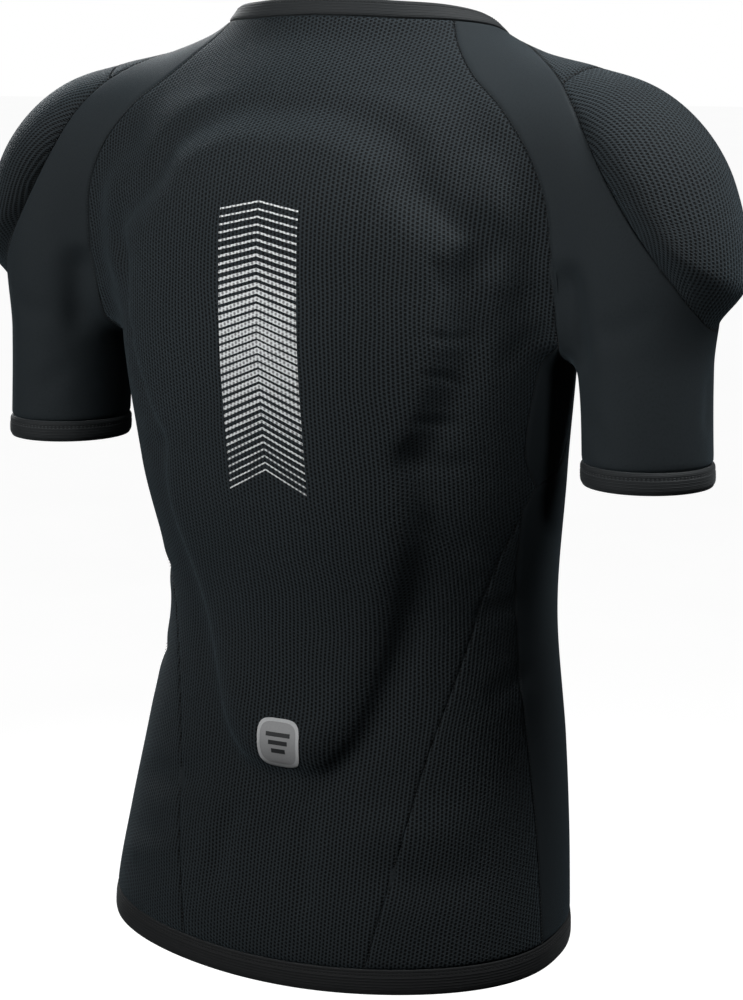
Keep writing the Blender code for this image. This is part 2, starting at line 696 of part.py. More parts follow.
def build():
    for item in list(bpy.data.objects):
        bpy.data.objects.remove(item, do_unlink=True)
    group = bpy.data.collections.new(COLLECTION)
    bpy.context.scene.collection.children.link(group)

    mesh_knit = ("mesh_knit", MESH_KNIT)
    smooth_knit = ("smooth_knit", SMOOTH_KNIT)
    band_knit = ("band_knit", BAND_KNIT)
    pad_foam = ("pad_foam", PAD_FOAM)

    lines = seam_lines()
    back, back_rise = back_grid(lines)
    cloth("back_panel", [(back, back_rise)], mesh_knit)
    cloth("front_panel", [flat(front_grid(lines))], smooth_knit)
    both_sides(cloth, "side_panel", [flat(side_grid(lines))], mesh_knit)
    both_sides(cloth, "underarm_gusset", [flat(gusset_grid(lines))], smooth_knit)
    both_sides(cloth, "shoulder_yoke", [flat(yoke_grid(lines))], mesh_knit)
    pocket, crown = pocket_grid(lines)
    both_sides(cloth, "shoulder_pocket", [(pocket, crown)], mesh_knit)
    band_back, band_front, tube, turns = sleeve_grids(lines)
    both_sides(cloth, "sleeve", [flat(band_back), flat(band_front), flat(tube)], smooth_knit)
    both_sides(cloth, "cuff", [flat(cuff_grid(turns))], band_knit, BAND_WALL)
    cloth("hem_band", [flat(hem_grid())], band_knit, BAND_WALL)
    cloth("collar_band", [flat(collar_grid())], band_knit, BAND_WALL)

    rows = slice(PROTECTOR_TOP_ROW, PROTECTOR_FOOT_ROW + 1)
    columns = slice(FLANK_COLUMNS + 1, -FLANK_COLUMNS - 1)
    pad("back_protector", [(back[rows, columns], back_rise[rows, columns])], pad_foam)
    inside = (slice(2, -1), slice(1, -1))
    both_sides(pad, "shoulder_pad", [(pocket[inside], crown[inside])], pad_foam)


build()
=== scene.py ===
"""The looks of a padded compression shirt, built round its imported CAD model.

Every cloth piece is a thin shell on the form of its CAD solid, made finer, with the relief of the
pads under it, soft creases, rolled bands and stitching. Sizes are in metres, in the model's frame:
the front faces -Y, the wearer's left side is at +X, and the origin is at the base of the neck.
"""

from collections import namedtuple
from math import atan, ceil, cos, pi, radians, sin

import bpy
import numpy as np
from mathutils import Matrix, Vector, kdtree


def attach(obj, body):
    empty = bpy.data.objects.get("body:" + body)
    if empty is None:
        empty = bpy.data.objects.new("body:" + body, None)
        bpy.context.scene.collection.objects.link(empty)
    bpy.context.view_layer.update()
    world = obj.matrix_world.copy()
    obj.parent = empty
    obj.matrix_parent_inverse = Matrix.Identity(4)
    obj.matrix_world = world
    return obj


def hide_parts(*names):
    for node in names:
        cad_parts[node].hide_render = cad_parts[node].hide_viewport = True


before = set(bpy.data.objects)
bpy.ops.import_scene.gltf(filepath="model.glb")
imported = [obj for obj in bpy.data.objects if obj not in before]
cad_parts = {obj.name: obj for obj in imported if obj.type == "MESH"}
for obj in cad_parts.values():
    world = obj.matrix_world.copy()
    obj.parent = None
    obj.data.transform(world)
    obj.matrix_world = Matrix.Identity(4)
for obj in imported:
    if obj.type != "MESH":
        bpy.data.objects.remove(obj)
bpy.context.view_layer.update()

# Cloth
WALL = 0.0016
BAND_WALL = 0.0024
SEAM_GAP = 0.0005
PAD_GAP = 0.0004
PAD_BACKING = 0.0050

# Heights of the edges, and how far the hem dips behind and rises in front
HEM_SEAM_Z = -0.640
HEM_BAND = 0.019
HEM_DIP = 0.015
CUFF_SEAM_Z = -0.290
CUFF_BAND = 0.016
COLLAR_BAND = 0.013

# The trunk, a row for each level
Section = namedtuple("Section", "z half_width centre_y back front squareness")
TRUNK = (
    Section(-0.720, 0.182, 0.022, 0.106, 0.114, 2.3),
    Section(-0.640, 0.180, 0.020, 0.106, 0.114, 2.3),
    Section(-0.583, 0.174, 0.008, 0.106, 0.110, 2.3),
    Section(-0.515, 0.165, -0.005, 0.102, 0.106, 2.3),
    Section(-0.422, 0.151, -0.018, 0.103, 0.102, 2.3),
    Section(-0.312, 0.163, -0.002, 0.112, 0.112, 2.3),
    Section(-0.177, 0.172, 0.005, 0.120, 0.120, 2.3),
    Section(-0.110, 0.166, 0.004, 0.116, 0.110, 2.2),
    Section(-0.060, 0.148, -0.002, 0.102, 0.098, 2.1),
    Section(-0.025, 0.120, -0.010, 0.086, 0.086, 2.0),
    Section(0.000, 0.100, -0.018, 0.076, 0.076, 2.0),
    Section(0.030, 0.090, -0.024, 0.070, 0.070, 2.0),
    Section(0.060, 0.088, -0.026, 0.068, 0.068, 2.0),
)

# The arm, from inside the neck over the shoulder and down past the cuff
Joint = namedtuple("Joint", "x y z across deep")
ARM = (
    Joint(0.000, -0.018, -0.060, 0.040, 0.044),
    Joint(0.050, -0.018, -0.060, 0.048, 0.054),
    Joint(0.130, -0.006, -0.072, 0.058, 0.062),
    Joint(0.192, 0.002, -0.094, 0.063, 0.064),
    Joint(0.226, 0.007, -0.148, 0.058, 0.060),
    Joint(0.235, 0.011, -0.225, 0.046, 0.051),
    Joint(0.239, 0.013, -0.300, 0.045, 0.047),
    Joint(0.242, 0.014, -0.370, 0.046, 0.048),
)
ARM_STEPS = 28
ARM_FINE_STEPS = 441
ARM_ROUNDS = 3
# Where the arm can reach the surface, and the distance taken beyond that
ARM_INNER_X = 0.05
ARM_INNER_Z = -0.22
ARM_LOWER_Z = -0.44
ARM_FAR = 0.5

# How wide the fillet between arm and trunk is, below the armpit and up to the shoulder
Fillet = namedtuple("Fillet", "z width")
FILLETS = (
    Fillet(-0.262, 0.008),
    Fillet(-0.236, 0.022),
    Fillet(-0.208, 0.056),
    Fillet(-0.170, 0.066),
    Fillet(-0.120, 0.052),
    Fillet(0.000, 0.045),
)

# The seam under the collar band, a row for each direction from the back round to the front
Neck = namedtuple("Neck", "turn z")
NECKLINE = (
    Neck(0, 0.012),
    Neck(40, 0.010),
    Neck(70, 0.006),
    Neck(95, -0.005),
    Neck(120, -0.022),
    Neck(150, -0.042),
    Neck(180, -0.049),
)
BACK_RAGLAN_TURN = 70
YOKE_BACK_TURN = 104
YOKE_FRONT_TURN = 124
FRONT_RAGLAN_TURN = 142

# The seams on the wearer's left, a row for each place that one passes through
Spot = namedtuple("Spot", "x y z")
BACK_ARMPIT = Spot(0.184, 0.044, -0.209)
FRONT_ARMPIT = Spot(0.184, -0.028, -0.209)
BACK_RAGLAN = (
    Spot(0.101, 0.031, -0.009),
    Spot(0.118, 0.046, -0.028),
    Spot(0.146, 0.057, -0.052),
    Spot(0.169, 0.065, -0.080),
    Spot(0.181, 0.067, -0.108),
    Spot(0.185, 0.062, -0.145),
    Spot(0.185, 0.054, -0.180),
    BACK_ARMPIT,
)
FRONT_RAGLAN = (
    Spot(0.112, -0.078, -0.068),
    Spot(0.146, -0.076, -0.100),
    Spot(0.168, -0.064, -0.135),
    Spot(0.180, -0.050, -0.175),
    FRONT_ARMPIT,
)
UNDERARM = (BACK_ARMPIT, Spot(0.179, 0.022, -0.219), Spot(0.179, -0.006, -0.219), FRONT_ARMPIT)
GUSSET_FOOT = Spot(0.161, 0.024, -0.314)
GUSSET_BACK = (BACK_ARMPIT, Spot(0.173, 0.041, -0.232), Spot(0.165, 0.043, -0.262),
               Spot(0.160, 0.039, -0.292), GUSSET_FOOT)
GUSSET_FRONT = (FRONT_ARMPIT, Spot(0.172, -0.036, -0.238), Spot(0.168, -0.034, -0.268),
                Spot(0.164, -0.014, -0.300), GUSSET_FOOT)
SIDE_TOP = Spot(0.155, 0.036, -0.330)
POCKET_BACK_TOP = Spot(0.180, 0.032, -0.042)
POCKET_BACK_FOOT = Spot(0.259, 0.052, -0.155)
POCKET_FRONT_TOP = Spot(0.182, -0.034, -0.046)
POCKET_FRONT_FOOT = Spot(0.259, -0.038, -0.155)
YOKE_BACK = (Spot(0.136, -0.010, -0.016), Spot(0.158, 0.013, -0.026), POCKET_BACK_TOP)
YOKE_FRONT = (Spot(0.122, -0.056, -0.034), Spot(0.152, -0.048, -0.040), POCKET_FRONT_TOP)
YOKE_FOOT = (POCKET_BACK_TOP, Spot(0.186, 0.000, -0.038), POCKET_FRONT_TOP)
POCKET_BACK = (POCKET_BACK_TOP, Spot(0.195, 0.046, -0.055), Spot(0.216, 0.058, -0.086),
               Spot(0.241, 0.060, -0.125), POCKET_BACK_FOOT)
POCKET_FRONT = (POCKET_FRONT_TOP, Spot(0.195, -0.044, -0.060), Spot(0.216, -0.050, -0.088),
                Spot(0.241, -0.048, -0.126), POCKET_FRONT_FOOT)
POCKET_FOOT = (POCKET_BACK_FOOT, Spot(0.276, 0.036, -0.182), Spot(0.281, 0.006, -0.198),
               Spot(0.276, -0.024, -0.182), POCKET_FRONT_FOOT)
SLEEVE_BACK = (BACK_ARMPIT, Spot(0.218, 0.063, -0.190), POCKET_BACK_FOOT)
SLEEVE_FRONT = (POCKET_FRONT_FOOT, Spot(0.218, -0.050, -0.190), FRONT_ARMPIT)

# The two seams that part the mesh side panel, as directions from the trunk's middle
SideSeam = namedtuple("SideSeam", "z back_turn front_turn")
SIDE_SEAMS = (
    SideSeam(-0.330, 76, 76),
    SideSeam(-0.364, 69, 75),
    SideSeam(-0.430, 60, 76),
    SideSeam(-0.499, 51, 78),
    SideSeam(-0.582, 43, 81),
    SideSeam(-0.650, 37, 83),
)

# The back protector, a row for each level: how far it reaches to each side, and how proud it is
Level = namedtuple("Level", "z half_width rise")
PROTECTOR = (
    Level(-0.038, 0.055, 0.0040),
    Level(-0.048, 0.082, 0.0060),
    Level(-0.066, 0.099, 0.0070),
    Level(-0.090, 0.103, 0.0075),
    Level(-0.115, 0.122, 0.0080),
    Level(-0.138, 0.134, 0.0085),
    Level(-0.162, 0.126, 0.0085),
    Level(-0.210, 0.124, 0.0090),
    Level(-0.262, 0.106, 0.0095),
    Level(-0.285, 0.093, 0.0100),
    Level(-0.315, 0.097, 0.0110),
    Level(-0.345, 0.095, 0.0120),
    Level(-0.400, 0.080, 0.0130),
    Level(-0.450, 0.067, 0.0145),
    Level(-0.490, 0.054, 0.0165),
    Level(-0.512, 0.038, 0.0165),
    Level(-0.520, 0.022, 0.0165),
)
PROTECTOR_EDGE = 0.014
PROTECTOR_TOP_Z = -0.048
PROTECTOR_FOOT_Z = -0.514
# Its edge is rolled: steep outside, and flatter over this width inwards
Roll = namedtuple("Roll", "z width tent valley")
ROLLS = (
    Roll(-0.530, 0.034, 0.05, 0.0006),
    Roll(-0.480, 0.034, 0.12, 0.0010),
    Roll(-0.400, 0.030, 0.22, 0.0012),
    Roll(-0.330, 0.026, 0.25, 0.0008),
    Roll(-0.285, 0.022, 0.22, 0.0024),
    Roll(-0.230, 0.024, 0.18, 0.0036),
    Roll(-0.175, 0.026, 0.15, 0.0042),
    Roll(-0.140, 0.024, 0.15, 0.0034),
    Roll(-0.105, 0.020, 0.20, 0.0012),
    Roll(-0.070, 0.018, 0.25, 0.0000),
    Roll(-0.030, 0.016, 0.25, 0.0000),
)
ROLL_FALL = 2.4
ROLL_SOFT = 0.12
# The cloth tents beyond the edge by this much, and dips in a valley beside it
TENT_REACH = 0.034
VALLEY_PLACE = 0.013
VALLEY_WIDTH = 0.0085
# The thick part of the protector starts at an arch below its top edge
PLATE = (
    Level(-0.052, 0.030, 0.0),
    Level(-0.060, 0.060, 0.0),
    Level(-0.076, 0.088, 0.0),
    Level(-0.100, 0.102, 0.0),
    Level(-0.130, 0.125, 0.0),
)
PLATE_SHARE = 0.50
PLATE_EDGE = 0.009
# Above it the cloth lies on a thin shelf, whose edge is an outer arch, and falls to a shallow trough
SHELF_SHARE = 0.55
SHELF_START = 0.050
SHELF_EDGE = 0.018
SHELF_FALL = 0.90
PLATE_CLIMB = 0.026
SHELF_FOOT_Z = -0.128
SHELF_FADE = 0.045

# The crown over a shoulder pad: how proud it is, and the shares of its height over which it
# rises from the top seam and falls to the foot
POCKET_RISE = 0.017
CROWN_RISE = 0.55
CROWN_FALL = 0.20
CROWN_FLATNESS = 4
PAD_FROM, PAD_TO = 2 / 7, 6 / 7
PAD_SIDE = 0.1

# Fineness of the work on the form, and limits that keep its steps short where it bends sharply
SLOPE_STEP = 0.004
PROBE_STEP = 0.0008
SETTLE_ROUNDS = 5
LEAST_SLOPE = 0.2
LEAST_BEND = 0.3
LEAST_MITRE = 0.3
WIDEST_SINE = 0.97
TURN_ROUNDS = 12
SEAM_SAMPLES = 160
EDGE_FADE = 6
CELL = 0.0030
PAD_CELL = 0.0040
EDGE_STEPS = (0.0, 0.0005, 0.0011, 0.0019)
SHARP_ANGLE = radians(50)
HEM_COUNT = 360
CUFF_COUNT = 140
COLLAR_COUNT = 200
PAD_COLUMNS = 55
SEAM_POINT_PITCH = 0.0004
NECK_SAMPLES = 400
HEM_SAMPLES = 600
CUFF_SAMPLES = 200
OUTLINE_FINENESS = 20
FACES_TRIED = 400
POINTS_AT_ONCE = 4000

# About how wide the trunk's panels are and how long the sleeve's tube is, for their cell counts
BACK_WIDTH = 0.36
FRONT_WIDTH = 0.42
SIDE_WIDTH = 0.125
TUBE_LENGTH = 0.095
# How much of the turn at the cuff comes from the sleeve's head, and not from even spacing
CUFF_TURN_SHARE = 0.4

# Where cloth turns under at a seam
SEAM_DROP = 0.0012
SEAM_WIDTH = 0.0030
TAPE_WIDTH = 0.0060
TAPE_WALL = 0.0005
TAPE_GAP = 0.0002

# A band's rolled outline: how square it is, the grooves of its stitch rows, and its ribs
BAND_CELL = 0.00045
BAND_SQUARENESS = 5
BAND_INNER_STEPS = 12
ROW_DIP = 0.0004
ROW_DIP_WIDTH = 0.0006
BAND_RIB = 0.0021
HEM_PROUD, HEM_RIB = 0.0006, 0.00012
COLLAR_PROUD, COLLAR_RIB = 0.0009, 0.00006
CUFF_PROUD, CUFF_RIB = 0.0013, 0.00006

# Thread: half its thickness, its sides and thinner tips, and the steps that find its directions
THREAD = 0.00017
THREAD_SIDES = 5
THREAD_TIP = 0.6
RUN_STEP = 0.002
UP_STEP = 0.001
LADDER_PITCH = 0.0024
LADDER_REACH = 0.0012
LADDER_SLANT = 0.0004
LADDER_RISE = (-0.0007, -0.0001, -0.0002, -0.0001, -0.0007)
ROW_PITCH = 0.0030
ROW_STITCH = 0.0023
ROW_RISE = (-0.00030, 0.00010, 0.00016, 0.00010, -0.00030)
HEM_ROWS = (0.0026, 0.0044)
CUFF_ROWS = (0.0042, 0.0054)
COLLAR_ROWS = (0.0100,)

# The mesh knit: columns of holes, each half a pitch below the last, that drift a little
HOLE_COLUMN = 0.0029
HOLE_PITCH = 0.00275
HOLE_NARROWNESS = 0.86
HOLE_INNER, HOLE_OUTER = 0.00055, 0.00126
HOLE_DRIFT = 0.006

# The quilting on the inner side of the pads
QUILT_CELL = 0.038
QUILT_DEPTH = 0.0016
QUILT_WIDTH = 0.0035
PAD_ROUNDING = 0.0016
PAD_CLEARANCE = 0.0004

# The print down the spine: a stack of chevrons, and the badge below it
PRINT_TOP_Z = -0.113
PRINT_FOOT_Z = -0.309
PRINT_HALF_WIDTH = 0.030
CHEVRONS = 38
CHEVRON_COLUMNS = 31
CHEVRON_DROP = 0.011
CHEVRON_THIN = 0.22
CHEVRON_THICK = 0.70
FILM = 0.00014
BADGE_Z = -0.499
BADGE_HALF_WIDTH = 0.0165
BADGE_HALF_HEIGHT = 0.0180
BADGE_ROUNDNESS = 4.0
BADGE_STEP = 0.05
BADGE_COLUMNS = 49
Ring = namedtuple("Ring", "from_share to_share lift")
BADGE_FIELD = Ring(0.02, 0.90, 0.00038)
BADGE_RIM = Ring(0.86, 1.0, 0.00060)
Bar = namedtuple("Bar", "half_width centre")
BADGE_BARS = (Bar(0.0095, 0.0060), Bar(0.0075, 0.0), Bar(0.0055, -0.0060))
BAR_HALF_HEIGHT = 0.0016
BAR_LIFT = 0.00055

# Colours, dark and light
MESH_COLOURS = (0.0188, 0.0245, 0.0281, 1), (0.0241, 0.0309, 0.0351, 1)
SMOOTH_COLOURS = (0.0175, 0.0225, 0.0257, 1), (0.0220, 0.0280, 0.0318, 1)
# The hem band is darker than the cuff and collar band: partly its own tone, partly painted shade low on the
# shirt
HEM_TONE_AND_SHADE_COLOURS = (0.0085, 0.0092, 0.0100, 1), (0.0150, 0.0165, 0.0178, 1)
CUFF_COLOURS = (0.0130, 0.0155, 0.0170, 1), (0.0190, 0.0222, 0.0242, 1)
DARK_THREAD_COLOURS = (0.006, 0.007, 0.008, 1), (0.014, 0.016, 0.017, 1)
GREY_THREAD_COLOURS = (0.030, 0.034, 0.037, 1), (0.060, 0.066, 0.070, 1)
FOAM_COLOURS = (0.018, 0.018, 0.020, 1), (0.040, 0.040, 0.044, 1)
INK_COLOURS = (0.62, 0.64, 0.65, 1), (0.82, 0.84, 0.85, 1)
FIELD_COLOURS = (0.27, 0.275, 0.28, 1), (0.36, 0.365, 0.37, 1)
RIM_COLOURS = (0.44, 0.45, 0.46, 1), (0.56, 0.57, 0.58, 1)
BAR_COLOURS = (0.020, 0.022, 0.024, 1), (0.032, 0.034, 0.036, 1)
FLOOR_COLOURS = (0.20, 0.20, 0.20, 1), (0.22, 0.22, 0.22, 1)
FLOOR_GLOWS = (0.90, 0.90, 0.90, 1), (0.92, 0.92, 0.92, 1)
KNIT_SHEEN = (0.60, 0.84, 1.00, 1)
BAND_SHEEN = (0.85, 0.92, 0.95, 1)

# The stage: soft square lights, soft round ones on one place, a dim room and the floor
AreaLight = namedtuple("AreaLight", "name place target size power")
AREA_LIGHTS = (
    AreaLight("key", (0.35, 1.36, 0.55), (0, 0.05, -0.30), 0.60, 10),
    AreaLight("left", (0.86, 1.28, 0.25), (0, 0.05, -0.30), 0.60, 8.3),
    AreaLight("right", (-0.82, -0.17, 1.06), (0, 0.05, -0.30), 0.60, 27),
    AreaLight("front", (1.40, -1.20, 0.60), (0, -0.05, -0.35), 1.0, 34),
)
SpotLight = namedtuple("SpotLight", "name place target radius power cone")
SPOT_LIGHTS = (
    SpotLight("pocket", (-1.25, 0.80, 0.25), (-0.26, 0.04, -0.09), 0.12, 22, radians(25)),
    SpotLight("back", (0.10, 1.45, 0.45), (-0.06, 0.10, -0.20), 0.12, 15, radians(19)),
)
SPOT_BLEND = 0.8
ROOM_LIGHT_LOW = 0.008
ROOM_LIGHT_HIGH = 0.03
ROOM_LOW, ROOM_TOP = -0.3, 1.0
FLOOR_Z = -1.30
FLOOR_HALF_SIZE = 40.0
FLOOR_GLOW = 1.05

# The viewpoint of the photo, whose long side is 1000 pixels
PHOTO_LONG_SIDE = 1000
PHOTO_HALF_WIDTH = 371.5
CAMERA_TURN = radians(28)
CAMERA_DISTANCE = 1.77
CAMERA_PITCH = radians(10.9)
FOCAL_PIXELS = 2431
AXIS_PIXEL = 350
SENSOR_MM = 36


def curve_through(knots, values):
    """A smooth function through the given values, one row for each knot."""
    knots = np.asarray(knots, float)
    values = np.asarray(values, float)
    slopes = np.gradient(values, knots, axis=0)

    def at(place):
        place = np.clip(place, knots[0], knots[-1])
        i = np.clip(np.searchsorted(knots, place) - 1, 0, len(knots) - 2)
        step = knots[i + 1] - knots[i]
        t = (place - knots[i]) / step
        if values.ndim > 1:
            t = t[..., None]
            step = step[..., None]
        start = values[i] * (1 + 2 * t) * (1 - t) ** 2 + slopes[i] * step * t * (1 - t) ** 2
        end = values[i + 1] * t * t * (3 - 2 * t) + slopes[i + 1] * step * t * t * (t - 1)
        return start + end

    return at


def smooth_step(x):
    x = np.clip(x, 0, 1)
    return x * x * (3 - 2 * x)


def unit(vectors):
    return vectors / np.maximum(np.linalg.norm(vectors, axis=-1, keepdims=True), 1e-12)


def lengths_along(line):
    return np.r_[0, np.cumsum(np.linalg.norm(np.diff(line, axis=0), axis=1))]


trunk_at = curve_through([s.z for s in TRUNK], [s[1:] for s in TRUNK])
fillet_at = curve_through([f.z for f in FILLETS], [f.width for f in FILLETS])
neck_z_at = curve_through([n.turn for n in NECKLINE], [n.z for n in NECKLINE])
arm_knots = lengths_along(np.array(ARM)[:, :3])
arm_at = curve_through(arm_knots, ARM)
arm_along = np.linspace(0, arm_knots[-1], ARM_STEPS)
arm_line = arm_at(arm_along)[:, :3]
arm_fine_along = np.linspace(0, arm_knots[-1], ARM_FINE_STEPS)
arm_fine = arm_at(arm_fine_along)
arm_runs = unit(np.gradient(arm_fine[:, :3], axis=0))
arm_bends = np.gradient(arm_runs, arm_fine_along[1], axis=0)
arm_table = np.hstack([arm_fine[:, :3], arm_runs, arm_bends, arm_fine[:, 3:]])


def trunk_reach(turn, z):
    """How far the trunk's surface is from its middle line, level with z."""
    half, _, back, front, square = np.moveaxis(trunk_at(z), -1, 0)
    depth = np.where(np.cos(turn) > 0, back, front)
    share = np.abs(np.sin(turn) / half) ** square + np.abs(np.cos(turn) / depth) ** square
    return share ** (-1 / square)


def trunk_point(turn, z):
    centre = trunk_at(z)[..., 1]
    reach = trunk_reach(turn, z)
    return np.stack([reach * np.sin(turn), centre + reach * np.cos(turn), z + 0 * turn], -1)


def turn_of(points):
    """The direction of points from the trunk's middle line, from the back round by the left."""
    turn = np.arctan2(points[..., 0], points[..., 1] - trunk_at(points[..., 2])[..., 1])
    return np.where(turn < 0, turn + 2 * pi, turn)


def trunk_gap(points):
    """The distance outside the trunk."""
    x, y, z = np.moveaxis(points, -1, 0)
    dy = y - trunk_at(z)[..., 1]
    turn = np.arctan2(x, dy)
    above = trunk_reach(turn, z + SLOPE_STEP)
    below = trunk_reach(turn, z - SLOPE_STEP)
    slope = (above - below) / (2 * SLOPE_STEP)
    return (np.hypot(x, dy) - trunk_reach(turn, z)) / np.sqrt(1 + slope**2)


def arm_gap(points):
    """The distance outside the arm on the points' own side, or a long one well away from it."""
    every = points.reshape(-1, 3)
    near = (np.abs(every[:, 0]) > ARM_INNER_X) | (every[:, 2] > ARM_INNER_Z)
    near &= every[:, 2] > ARM_LOWER_Z
    result = np.full(len(every), ARM_FAR)
    if near.any():
        result[near] = near_arm_gap(every[near])
    return result.reshape(points.shape[:-1])


def arm_track(places):
    """The arm's middle line, direction, bend and radii at places along it."""
    place = places / arm_fine_along[1]
    i = np.clip(place.astype(int), 0, len(arm_table) - 2)
    t = (place - i)[:, None]
    found = arm_table[i] * (1 - t) + arm_table[i + 1] * t
    return found[:, :3], found[:, 3:6], found[:, 6:9], found[:, 9:]


def near_arm_gap(flat):
    """The distance outside the arm, from the nearest place on its middle line."""
    flat = np.column_stack([np.abs(flat[:, 0]), flat[:, 1:]])
    away = flat[:, None] - arm_line
    places = arm_along[(away * away).sum(2).argmin(1)]
    for _ in range(ARM_ROUNDS):
        middle, run, bend, _ = arm_track(places)
        off = flat - middle
        step = (off * run).sum(1) / np.maximum(1 - (off * bend).sum(1), LEAST_BEND)
        places = np.clip(places + step, 0, arm_along[-1])
    middle, run, _, radii = arm_track(places)
    away = flat - middle
    across = away[:, 0] * -run[:, 2] + away[:, 2] * run[:, 0]
    far = np.linalg.norm(away, axis=1)
    part = np.hypot(across / radii[:, 0], away[:, 1] / radii[:, 1])
    part = np.maximum(part, far / radii.max(1))
    return far - far / np.maximum(part, 1e-6)


def body_gap(points):
    """The distance outside the worn form, of trunk and arms joined by a fillet."""
    trunk = trunk_gap(points)
    arm = arm_gap(points)
    width = fillet_at(points[..., 2])
    near = np.maximum(width - np.abs(trunk - arm), 0) / width
    return np.minimum(trunk, arm) - near * near * width / 4


def outward(points):
    """How fast the distance from the form grows along X, Y and Z."""
    sides = [body_gap(points + d) - body_gap(points - d) for d in np.eye(3) * PROBE_STEP]
    return np.stack(sides, -1) / (2 * PROBE_STEP)


def settle(points):
    """Points moved onto the form by the shortest way."""
    points = np.array(points, float)
    for _ in range(SETTLE_ROUNDS):
        gap = body_gap(points)
        slope = np.stack([body_gap(points + d) - gap for d in np.eye(3) * PROBE_STEP], -1) / PROBE_STEP
        points -= slope * (gap / np.maximum((slope * slope).sum(-1), LEAST_SLOPE))[..., None]
    return points


def seam(spots):
    """A finely sampled line on the form, smooth through the spots."""
    spots = np.array(spots, float)
    lengths = lengths_along(spots)
    return settle(curve_through(lengths, spots)(np.linspace(0, lengths[-1], SEAM_SAMPLES)))


def along(line, shares):
    """Points at the given shares of a line's length."""
    lengths = lengths_along(line)
    places = np.asarray(shares) * lengths[-1]
    return np.stack([np.interp(places, lengths, line[:, k]) for k in range(3)], -1)


def neckline(turns):
    """Points of the seam under the collar, in the given directions in radians."""
    turns = np.asarray(turns, float)
    folded = np.degrees(np.abs((turns + pi) % (2 * pi) - pi))
    return settle(trunk_point(turns, neck_z_at(folded)))


def hem_z(turns):
    return HEM_SEAM_Z - HEM_DIP * np.cos(turns)


def hem_seam(turns):
    return settle(trunk_point(turns, hem_z(turns)))


def steps(length, cell=CELL):
    """Shares of a length about a cell apart, and closer together near both of its ends."""
    inset = EDGE_STEPS[-1]
    if length < 6 * inset:
        return np.linspace(0, 1, 5)
    inner = np.linspace(inset, length - inset, max(2, round((length - 2 * inset) / cell)) + 1)
    close = np.array(EDGE_STEPS[:-1])
    return np.r_[close, inner, length - close[::-1]] / length


def spread(top, foot, left, right, down_shares, across_shares, fade=1):
    """A grid of points between four edges that meet at their ends, whose pull fades inwards."""
    v = down_shares[:, None, None]
    u = across_shares[None, :, None]
    v0, v1, u0, u1 = (1 - v) ** fade, v**fade, (1 - u) ** fade, u**fade
    across = v0 * top + v1 * foot
    down = u0 * left[:, None] + u1 * right[:, None]
    corners = v0 * (u0 * top[0] + u1 * top[-1]) + v1 * (u0 * foot[0] + u1 * foot[-1])
    return across + down - corners


def patch(start, top, foot, left, right, down_shares, across_shares):
    """A grid on the form between four seams, from a rough one or from none."""
    edges = [np.array(e, float) for e in (top, foot, left, right)]
    if start is None:
        grid = settle(spread(*edges, down_shares, across_shares))
    else:
        start = settle(start)
        off = (edges[0] - start[0], edges[1] - start[-1], edges[2] - start[:, 0], edges[3] - start[:, -1])
        grid = settle(start + spread(*off, down_shares, across_shares, EDGE_FADE))
    grid[0], grid[-1], grid[:, 0], grid[:, -1] = edges
    return grid


def mirrored(points):
    return points * [-1, 1, 1]


def side_seam(column):
    """The line from the top of the side panel down one of its edges, to the hem."""
    at = curve_through([s.z for s in reversed(SIDE_SEAMS)], [s[column] for s in reversed(SIDE_SEAMS)])
    foot_turn = radians(float(at(HEM_SEAM_Z)))
    zs = np.linspace(SIDE_TOP.z, float(hem_z(foot_turn)), SEAM_SAMPLES)
    line = settle(trunk_point(np.radians(at(zs)), zs))
    line[-1] = hem_seam(np.array([radians(float(at(hem_z(foot_turn))))]))[0]
    return line


def seam_lines():
    """Every seam on the wearer's left, shared by the panels on both sides of it."""
    side_top = settle(np.array([SIDE_TOP]))[0]
    foot = settle(np.array([GUSSET_FOOT]))[0]
    turns = np.radians([BACK_RAGLAN_TURN, YOKE_BACK_TURN, YOKE_FRONT_TURN, FRONT_RAGLAN_TURN])
    back, yoke_back, yoke_front, front = neckline(turns)
    lines = {
        "back_raglan": seam((back, *BACK_RAGLAN)),
        "front_raglan": seam((front, *FRONT_RAGLAN)),
        "underarm": seam(UNDERARM),
        "gusset_back": seam(GUSSET_BACK),
        "gusset_front": seam(GUSSET_FRONT),
        "notch": seam((foot, side_top)),
        "side_back": side_seam(1),
        "side_front": side_seam(2),
        "yoke_back": seam((yoke_back, *YOKE_BACK)),
        "yoke_front": seam((yoke_front, *YOKE_FRONT)),
        "yoke_foot": seam(YOKE_FOOT),
        "pocket_back": seam(POCKET_BACK),
        "pocket_front": seam(POCKET_FRONT),
        "pocket_foot": seam(POCKET_FOOT),
        "sleeve_back": seam(SLEEVE_BACK),
        "sleeve_front": seam(SLEEVE_FRONT),
    }
    for name in ("side_back", "side_front"):
        lines[name][0] = side_top
    return lines


def down(*lines):
    """Seams joined end to end."""
    return np.concatenate([lines[0]] + [line[1:] for line in lines[1:]])


# Creases

